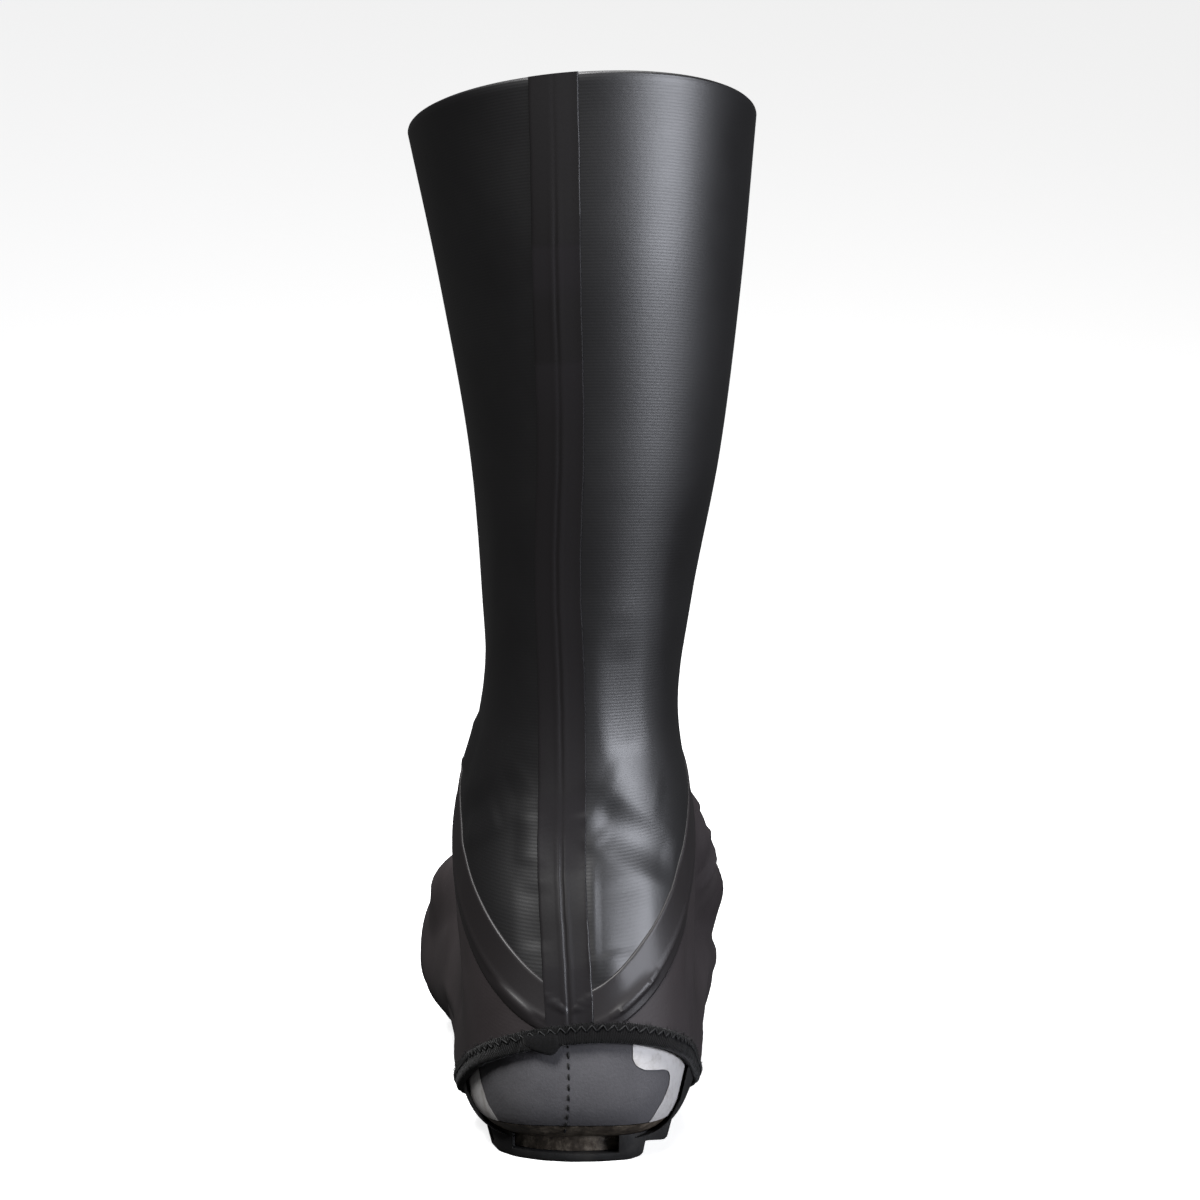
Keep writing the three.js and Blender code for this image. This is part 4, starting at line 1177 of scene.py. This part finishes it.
# corner points of the pad seen from above, in mm; the outer side has a lug that stands further out
PAD_OUTLINE = ((-30.5, -4.0), (-28.0, -13.5), (-22.0, -21.0), (-13.0, -26.2), (-3.0, -28.4), (8.0, -27.8),
               (18.0, -25.0), (22.5, -19.0), (23.5, 1.5), (31.5, 3.0), (31.0, 16.0), (25.0, 26.0), (10.0, 29.6),
               (-10.0, 29.6), (-25.0, 26.0), (-31.0, 16.0))
PAD_LEVELS = ((0.0, -0.02), (0.7, 0.0), (3.0, 0.02), (LUG_HEIGHT, 0.10))
pad_outline = np.array(rounded_outline(PAD_OUTLINE, 2.6))
pad_rings = [np.column_stack([pad_outline * (0.92 + spread), np.full(len(pad_outline), level)])
             for level, spread in PAD_LEVELS]
pad = make_object("heel_pad_rubber", recalculated(solid_mesh("heel_pad_rubber", np.array(pad_rings), True)))
cut(pad, filled_shoe(WALL + 0.1, "heel_hollow"))
block_hollow = np.array(block_outline) * (1.015, 1.015)
cut(pad, prism_mesh("block_hollow", block_hollow, PAD_THICKNESS, 40.0, 2))
notches = [(-3.9, -PAD_LENGTH / 2, 33.8, PAD_LENGTH / 2)]
notches += [(0, share * PAD_LENGTH, 2 * PAD_WIDTH, LUG_GAP) for share in (-0.12, 0.22)]
for x, y, width, length in notches:
    cut(pad, prism_mesh("notch", rounded_box(x, y, width, length, 1.0), PAD_THICKNESS, 40.0, 2))
bevel = pad.modifiers.new("worn_edges", "BEVEL")
bevel.width = 0.5 * MM
bevel.segments = 2
bevel.limit_method = "ANGLE"
bevel.angle_limit = math.radians(50)
plain_copy(pad)
pad.data.materials.clear()
pad.data.materials.append(rubber)
crisp(pad, 35)
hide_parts("heel_pad")
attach(pad, "root")
describe(pad)

# %% [markdown]
# The tread under the ball stands through the cleat opening. Its grooves are cut straight across, as the
# lines of a mould would be, and its top follows the plate above it.

# %% Forefoot tread
tread = make_object("forefoot_tread_rubber", prism_mesh("forefoot_tread_rubber", rounded_box(
    TREAD_X, TREAD_Y, TREAD_WIDTH, TREAD_LENGTH, CLEAT_CORNER - CLEAT_MARGIN), 0.0, 0.2 * ANKLE_HEIGHT, 2))
cut(tread, filled_shoe(WALL + 0.1, "plate_hollow"))
GROOVES = 4
for i in range(GROOVES):
    groove_y = TREAD_Y + (i - (GROOVES - 1) / 2) * TREAD_LENGTH / (GROOVES + 1)
    cut(tread, prism_mesh("groove", rounded_box(TREAD_X, groove_y, 2 * TREAD_WIDTH, 2.6, 0.4), -10.0, 1.6, 2))
bevel = tread.modifiers.new("worn_edges", "BEVEL")
bevel.width = 0.4 * MM
bevel.segments = 2
bevel.limit_method = "ANGLE"
bevel.angle_limit = math.radians(50)
plain_copy(tread)
tread.data.materials.clear()
tread.data.materials.append(rubber)
crisp(tread, 35)
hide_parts("forefoot_tread")
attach(tread, "root")
describe(tread)

# %% [markdown]
# The insole's solid already has the right shape and nearly all of it is hidden, so it stays as it is and
# only gets cloth on it.

# %% Insole cloth
def insole_material():
    material, tree, shader = new_material("dark_insole_cloth")
    coords = add_node(tree, "ShaderNodeTexCoord")
    knit = add_node(tree, "ShaderNodeTexVoronoi", links={"Vector": coords.outputs["Object"]},
                    inputs={"Scale": METRES_TO_MM / 1.5})
    colour = hex_ramp(tree, knit.outputs["Distance"], ((0.1, "#2a2a2e"), (0.8, "#39393e")))
    tree.links.new(colour, shader.inputs["Base Color"])
    bump = add_node(tree, "ShaderNodeBump", links={"Height": knit.outputs["Distance"]},
                    inputs={"Strength": 1.0, "Distance": 0.2 * MM})
    tree.links.new(bump.outputs["Normal"], shader.inputs["Normal"])
    shader.inputs["Roughness"].default_value = 0.95
    return material


insole_cloth = insole_material()
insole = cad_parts["insole"]
if isinstance(insole, bpy.types.Object):
    for slot in insole.material_slots:
        slot.material = insole_cloth

# %% [markdown]
# Stitches repeat along a line, so Geometry Nodes make them: the tree resamples a curve at the stitch
# length, puts one small rounded thread at each point, turns it along the curve and makes all of it real
# geometry. The curve is drawn on the same skin as the piece that carries it.

# %% Stitch tree
def stitch_tree():
    tree = bpy.data.node_groups.new("stitches_on_a_line", "GeometryNodeTree")
    face = tree.interface
    face.new_socket("Geometry", in_out="INPUT", socket_type="NodeSocketGeometry")
    for name, value in (("Stitch spacing", 3.4 * MM), ("Stitch length", 2.2 * MM), ("Thread radius", 0.3 * MM)):
        socket = face.new_socket(name, in_out="INPUT", socket_type="NodeSocketFloat")
        socket.default_value = value
    face.new_socket("Thread", in_out="INPUT", socket_type="NodeSocketMaterial")
    face.new_socket("Geometry", in_out="OUTPUT", socket_type="NodeSocketGeometry")
    start = add_node(tree, "NodeGroupInput")
    points = add_node(tree, "GeometryNodeResampleCurve", mode="LENGTH",
                      links={"Curve": start.outputs["Geometry"], "Length": start.outputs["Stitch spacing"]})
    ball = add_node(tree, "GeometryNodeMeshUVSphere", inputs={"Segments": 8, "Rings": 5, "Radius": 1.0})
    half = add_node(tree, "ShaderNodeMath", operation="MULTIPLY",
                    links={0: start.outputs["Stitch length"]}, inputs={1: 0.5})
    size = add_node(tree, "ShaderNodeCombineXYZ", links={
        "X": start.outputs["Thread radius"], "Y": start.outputs["Thread radius"], "Z": half.outputs["Value"]})
    thread = add_node(tree, "GeometryNodeTransform",
                      links={"Geometry": ball.outputs["Mesh"], "Scale": size.outputs["Vector"]})
    tangent = add_node(tree, "GeometryNodeInputTangent")
    turn = add_node(tree, "FunctionNodeAlignRotationToVector", axis="Z",
                    links={"Vector": tangent.outputs["Tangent"]})
    copies = add_node(tree, "GeometryNodeInstanceOnPoints", links={
        "Points": points.outputs["Curve"], "Instance": thread.outputs["Geometry"],
        "Rotation": turn.outputs["Rotation"]})
    real = add_node(tree, "GeometryNodeRealizeInstances", links={"Geometry": copies.outputs["Instances"]})
    paint = add_node(tree, "GeometryNodeSetMaterial", links={
        "Geometry": real.outputs["Geometry"], "Material": start.outputs["Thread"]})
    add_node(tree, "NodeGroupOutput", links={"Geometry": paint.outputs["Geometry"]})
    return tree


def line_curve(name, points, closed=False):
    curve = bpy.data.curves.new(name, "CURVE")
    curve.dimensions = "3D"
    spline = curve.splines.new("POLY")
    spline.points.add(len(points) - 1)
    for target, point in zip(spline.points, np.asarray(points) * MM):
        target.co = (*point, 1.0)
    spline.use_cyclic_u = closed
    piece = bpy.data.objects.new(name, curve)
    bpy.context.scene.collection.objects.link(piece)
    return piece


def grow(piece, tree, values):
    """Work a node tree into a plain mesh object; values are the tree's inputs by name."""
    step = piece.modifiers.new("grow", "NODES")
    step.node_group = tree
    for item in tree.interface.items_tree:
        if item.item_type == "SOCKET" and item.in_out == "INPUT" and item.name in values:
            step[item.identifier] = values[item.name]
    graph = bpy.context.evaluated_depsgraph_get()
    mesh = bpy.data.meshes.new_from_object(piece.evaluated_get(graph))
    name = piece.name
    bpy.data.objects.remove(piece)
    grown = make_object(name, mesh)
    mesh.polygons.foreach_set("use_smooth", [True] * len(mesh.polygons))
    return grown


def thread_material():
    material, tree, shader = new_material("black_polyester_thread")
    coords = add_node(tree, "ShaderNodeTexCoord")
    fibres = add_node(tree, "ShaderNodeTexNoise", links={"Vector": coords.outputs["Object"]},
                      inputs={"Scale": METRES_TO_MM / 0.4, "Detail": 2.0})
    tree.links.new(hex_ramp(tree, fibres.outputs["Fac"], ((0.3, "#050505"), (0.8, "#101011"))),
                   shader.inputs["Base Color"])
    shader.inputs["Roughness"].default_value = 0.6
    return material


stitches = stitch_tree()
thread = thread_material()

# %% [markdown]
# One row of dark stitches closes the counter at the back of the shoe.

# %% Counter stitches
counter_places = np.linspace(6.9, 8.42, 60)
counter_angle = np.radians(smooth((-4.0, -4.0, -6.0), np.linspace(0, 2, 60)))
counter_line, _ = skin(counter_places, counter_angle, np.full(60, -SHOE_DEPTH + 0.05), creased=False)
counter_row = grow(line_curve("counter_stitches", counter_line), stitches,
                   {"Stitch spacing": 3.2 * MM, "Stitch length": 2.3 * MM, "Thread radius": 0.42 * MM,
                    "Thread": thread})
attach(counter_row, "root")
describe(counter_row)

# %% [markdown]
# The ribbon is held by a zigzag near its upper edge. The line itself zigzags, and a thin thread
# of its own mesh lies along each leg of it.

# %% Binding stitches
ZIGZAG = 190
zig_margin = np.where(np.arange(ZIGZAG) % 2 == 0, 3.6, 5.6)
low_place, low_angle = opening_loop(3.6, ZIGZAG)
high_place, high_angle = opening_loop(5.6, ZIGZAG)
zig_place = np.where(zig_margin < 4, low_place, high_place)
zig_angle = np.where(zig_margin < 4, low_angle, high_angle)
zig_points, _ = skin(zig_place, zig_angle, np.full(ZIGZAG, 1.15), creased=False)


def zigzag_mesh(points, radius):
    """A thin six-sided thread on each leg of the zigzag."""
    all_points, faces = [], []
    for a, b in zip(points, np.roll(points, -1, axis=0)):
        along = (b - a) / np.linalg.norm(b - a)
        side = np.cross(along, (0, 0, 1.0))
        side /= np.linalg.norm(side)
        up = np.cross(along, side)
        start = len(all_points)
        for share, scale in ((0.02, 0.4), (0.12, 1.0), (0.88, 1.0), (0.98, 0.4)):
            for k in range(6):
                turn = k * math.pi / 3
                all_points.append(a + (b - a) * share + radius * scale * (math.cos(turn) * side + math.sin(turn) * up))
        for ring in range(3):
            faces += band_faces(start + 6 * ring, start + 6 * ring + 6, 6)
        faces.append(tuple(start + k for k in range(6)))
        faces.append(tuple(start + 23 - k for k in range(6)))
    return make_mesh("binding_zigzag", np.array(all_points), faces)


zigzag = outward(make_object("binding_zigzag", zigzag_mesh(zig_points, 0.26)))
zigzag.data.materials.append(thread)
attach(zigzag, "root")
describe(zigzag)

# %% [markdown]
# Where the two ends of the ribbon meet, one lies over the other and its corner hangs a little below the
# edge. It is a small cushion on the same skin, drawn as a low and a high edge across its width.

# %% Ribbon overlap
FLAP_TURN, FLAP_HALF, FLAP_ROWS = -0.235, 0.125, 25
FLAP_HIGH = (5.6, 5.5, 5.2, 4.9, 4.6)
FLAP_LOW = (1.4, -0.6, -2.0, -2.6, -0.2)
FLAP_SIDES = (0.75, 1.3, 1.75, 1.95, 1.95, 1.75, 1.3, 0.75)
spans = np.linspace(0, 1, FLAP_ROWS)
flap_turns = FLAP_TURN + FLAP_HALF * (2 * spans - 1)
high = smooth(FLAP_HIGH, spans * (len(FLAP_HIGH) - 1))
low = smooth(FLAP_LOW, spans * (len(FLAP_LOW) - 1))
levels = np.linspace(0, 1, len(FLAP_SIDES))
margins = high[:, None] + (low - high)[:, None] * levels[None, :]
flap_place, flap_angle = loop_at(margins, np.broadcast_to(flap_turns[:, None], margins.shape))
roof = np.minimum(1.0, 6 * np.minimum(spans, 1 - spans) + 0.4)[:, None] * np.array(FLAP_SIDES)[None, :]
flap_top, _ = skin(flap_place, flap_angle, roof, creased=False)
flap_base, _ = skin(flap_place, flap_angle, np.full(roof.shape, 0.3), creased=False)
flap_rings = np.concatenate([flap_top, flap_base[:, ::-1]], axis=1)
flap = make_object("binding_overlap", recalculated(solid_mesh("binding_overlap", flap_rings)))
flap.data.materials.append(elastic)
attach(flap, "root")
describe(flap)

# %% [markdown]
# Cut elastic frays. Short fibres stand off the ribbon's upper edge and a few sewing ends hang loose. Each
# is a thin tube along a bent line; a fixed seed keeps the same fibres in every build.

# %% Loose fibres
def tube_points(path, radius, sides=4):
    path = np.asarray(path, float)
    along = np.gradient(path, axis=0)
    along /= np.linalg.norm(along, axis=1, keepdims=True)
    side = np.cross(along, (0.31, 0.23, 0.92))
    side /= np.linalg.norm(side, axis=1, keepdims=True)
    up = np.cross(along, side)
    turns = np.arange(sides) * 2 * math.pi / sides
    size = radius * np.linspace(1.0, 0.45, len(path))[:, None, None]
    return path[:, None, :] + size * (np.cos(turns)[None, :, None] * side[:, None, :]
                                      + np.sin(turns)[None, :, None] * up[:, None, :])


def tubes_mesh(name, tubes):
    points, faces = [], []
    for rings in tubes:
        rows, count = rings.shape[:2]
        start = len(points)
        points.extend(rings.reshape(-1, 3))
        for i in range(rows - 1):
            faces += band_faces(start + i * count, start + (i + 1) * count, count)
        faces.append(tuple(range(start, start + count)))
        last = start + (rows - 1) * count
        faces.append(tuple(range(last + count - 1, last - 1, -1)))
    return recalculated(make_mesh(name, np.array(points), faces))


random = np.random.default_rng(7)
FIBRES = 900
fibre_turns = random.uniform(-math.pi, math.pi, FIBRES)
fibre_margins = random.uniform(5.0, 6.3, FIBRES)
fibre_place, fibre_angle = loop_at(fibre_margins, fibre_turns)
roots, fibre_normals = skin(fibre_place, fibre_angle, np.full(FIBRES, 0.75), creased=False)
tubes = []
for root, normal in zip(roots, fibre_normals):
    lean = random.normal(0, 1, 3) + (0, 0, 0.9)
    lean -= (lean @ normal) * normal * 0.8
    lean /= np.linalg.norm(lean)
    reach = random.uniform(0.7, 1.7)
    steps = np.linspace(0, 1, 4)[:, None]
    tubes.append(tube_points(root + steps * reach * lean + steps**2 * 0.35 * normal, 0.075))
fibres = make_object("binding_fibres", tubes_mesh("binding_fibres", tubes))
fibres.data.materials.append(thread)
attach(fibres, "root")
describe(fibres)

# %% Sewing ends
# turn round the opening and margin of the root in mm, then how far the end hangs sideways and down in mm
SEWING_ENDS = ((-0.352, 4.6, 1.6, 6.5), (-0.372, 3.4, -0.8, 5.2), (-0.36, 5.2, -1.6, 2.6), (-0.10, 0.4, 0.9, 1.6))
tubes = []
for turn, margin, sideways, down in SEWING_ENDS:
    place, angle = loop_at(margin, turn)
    root, normal = skin(place, angle, 1.2, creased=False)
    steps = np.linspace(0, 1, 12)[:, None]
    sway = np.sin(steps * 5.0) * 0.45
    hang = np.array([sideways, 0.0, -down]) * steps + sway * (1.0, 0.0, 0.25)
    tubes.append(tube_points(root + hang + normal * (1.1 * steps * (1 - 0.4 * steps)), 0.13, 6))
ends = make_object("sewing_ends", tubes_mesh("sewing_ends", tubes))
ends.data.materials.append(thread)
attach(ends, "root")
describe(ends)

# %% [markdown]
# A pale floor, a soft key light from the right and a weak light above keep the picture calm. The gloss on
# the leg is the reflection of the key, so its place and width are set by that light and not by the
# material. The surroundings look pale to the camera but give little light, as in a studio where the paper
# is lit and the room is dark; black film would otherwise mirror all of it along its sides.

# %% Floor and lights
SWEEP_DEPTH, SWEEP_RADIUS, SWEEP_HEIGHT, SWEEP_HALF_WIDTH = 2.6, 1.2, 3.2, 4.0
BEND_STEPS = 24
side_view = [(-4.0, 0.0), (SWEEP_DEPTH - SWEEP_RADIUS, 0.0)]
for step in range(1, BEND_STEPS + 1):
    turn = step / BEND_STEPS * math.pi / 2
    side_view.append((SWEEP_DEPTH - SWEEP_RADIUS + SWEEP_RADIUS * math.sin(turn),
                      SWEEP_RADIUS - SWEEP_RADIUS * math.cos(turn)))
side_view.append((SWEEP_DEPTH, SWEEP_HEIGHT))
sweep_points = [(x / MM, y / MM, z / MM) for y, z in side_view for x in (-SWEEP_HALF_WIDTH, SWEEP_HALF_WIDTH)]
sweep_faces = [(2 * i, 2 * i + 1, 2 * i + 3, 2 * i + 2) for i in range(len(side_view) - 1)]
sweep = make_object("paper_sweep", make_mesh("paper_sweep", sweep_points, sweep_faces))
sweep_finish, _, sweep_shader = new_material("pale_lit_paper")
sweep_shader.inputs["Base Color"].default_value = linear("#f0f0f0")
sweep_shader.inputs["Roughness"].default_value = 0.95
sweep_shader.inputs["Specular IOR Level"].default_value = 0.0
sweep_shader.inputs["Emission Color"].default_value = linear("#ffffff")
sweep_shader.inputs["Emission Strength"].default_value = 0.8
sweep.data.materials.append(sweep_finish)
sweep.visible_glossy = False
sweep.visible_diffuse = False

world = bpy.data.worlds.new("studio")
bpy.context.scene.world = world
world.use_nodes = True
sky = world.node_tree
dim = sky.nodes["Background"]
dim.inputs["Color"].default_value = linear("#ffffff")
dim.inputs["Strength"].default_value = 0.05
pale = add_node(sky, "ShaderNodeBackground", inputs={"Color": linear("#ffffff"), "Strength": 1.0})
seen = add_node(sky, "ShaderNodeLightPath")
choice = add_node(sky, "ShaderNodeMixShader", links={"Fac": seen.outputs["Is Camera Ray"]})
sky.links.new(dim.outputs["Background"], choice.inputs[1])
sky.links.new(pale.outputs["Background"], choice.inputs[2])
sky.links.new(choice.outputs["Shader"], sky.nodes["World Output"].inputs["Surface"])


def area_light(name, place, target, width, height, power, spread, colour="#ffffff"):
    light = bpy.data.lights.new(name, "AREA")
    light.spread = math.radians(spread)
    light.color = linear(colour)[:3]
    light.shape = "RECTANGLE"
    light.size = width
    light.size_y = height
    light.energy = power
    lamp = bpy.data.objects.new(name, light)
    lamp.location = place
    direction = Vector(target) - Vector(place)
    lamp.rotation_euler = direction.to_track_quat("-Z", "Y").to_euler()
    bpy.context.scene.collection.objects.link(lamp)


area_light("key", (1.50, -0.90, 0.38), (0.0, 0.0, 0.22), 1.1, 0.74, 4.6, 60, "#f2f5ff")
area_light("high fill", (-0.5, -1.4, 2.1), (0.0, 0.0, 0.05), 0.9, 0.9, 7.5, 50)
area_light("top", (0.0, 0.5, 2.1), (0.0, 0.5, 0.0), 1.6, 1.6, 12, 90)

# %% [markdown]
# The camera stands behind the heel, a little above it, and looks down six degrees. A long lens from a
# metre away keeps the collar's ellipse as flat as in the photograph.

# %% Camera
CAMERA_PLACE = (0.007, -1.140, 0.296)
CAMERA_DOWN = math.radians(6.0)
lens = bpy.data.cameras.new("camera")
lens.lens = 108.0
lens.sensor_width = 36.0
lens.sensor_fit = "HORIZONTAL"
camera = bpy.data.objects.new("camera", lens)
camera.location = CAMERA_PLACE
camera.rotation_euler = (math.radians(90) - CAMERA_DOWN, 0.0, 0.0)
bpy.context.scene.collection.objects.link(camera)
bpy.context.scene.camera = camera
bpy.context.scene.view_settings.view_transform = "Standard"
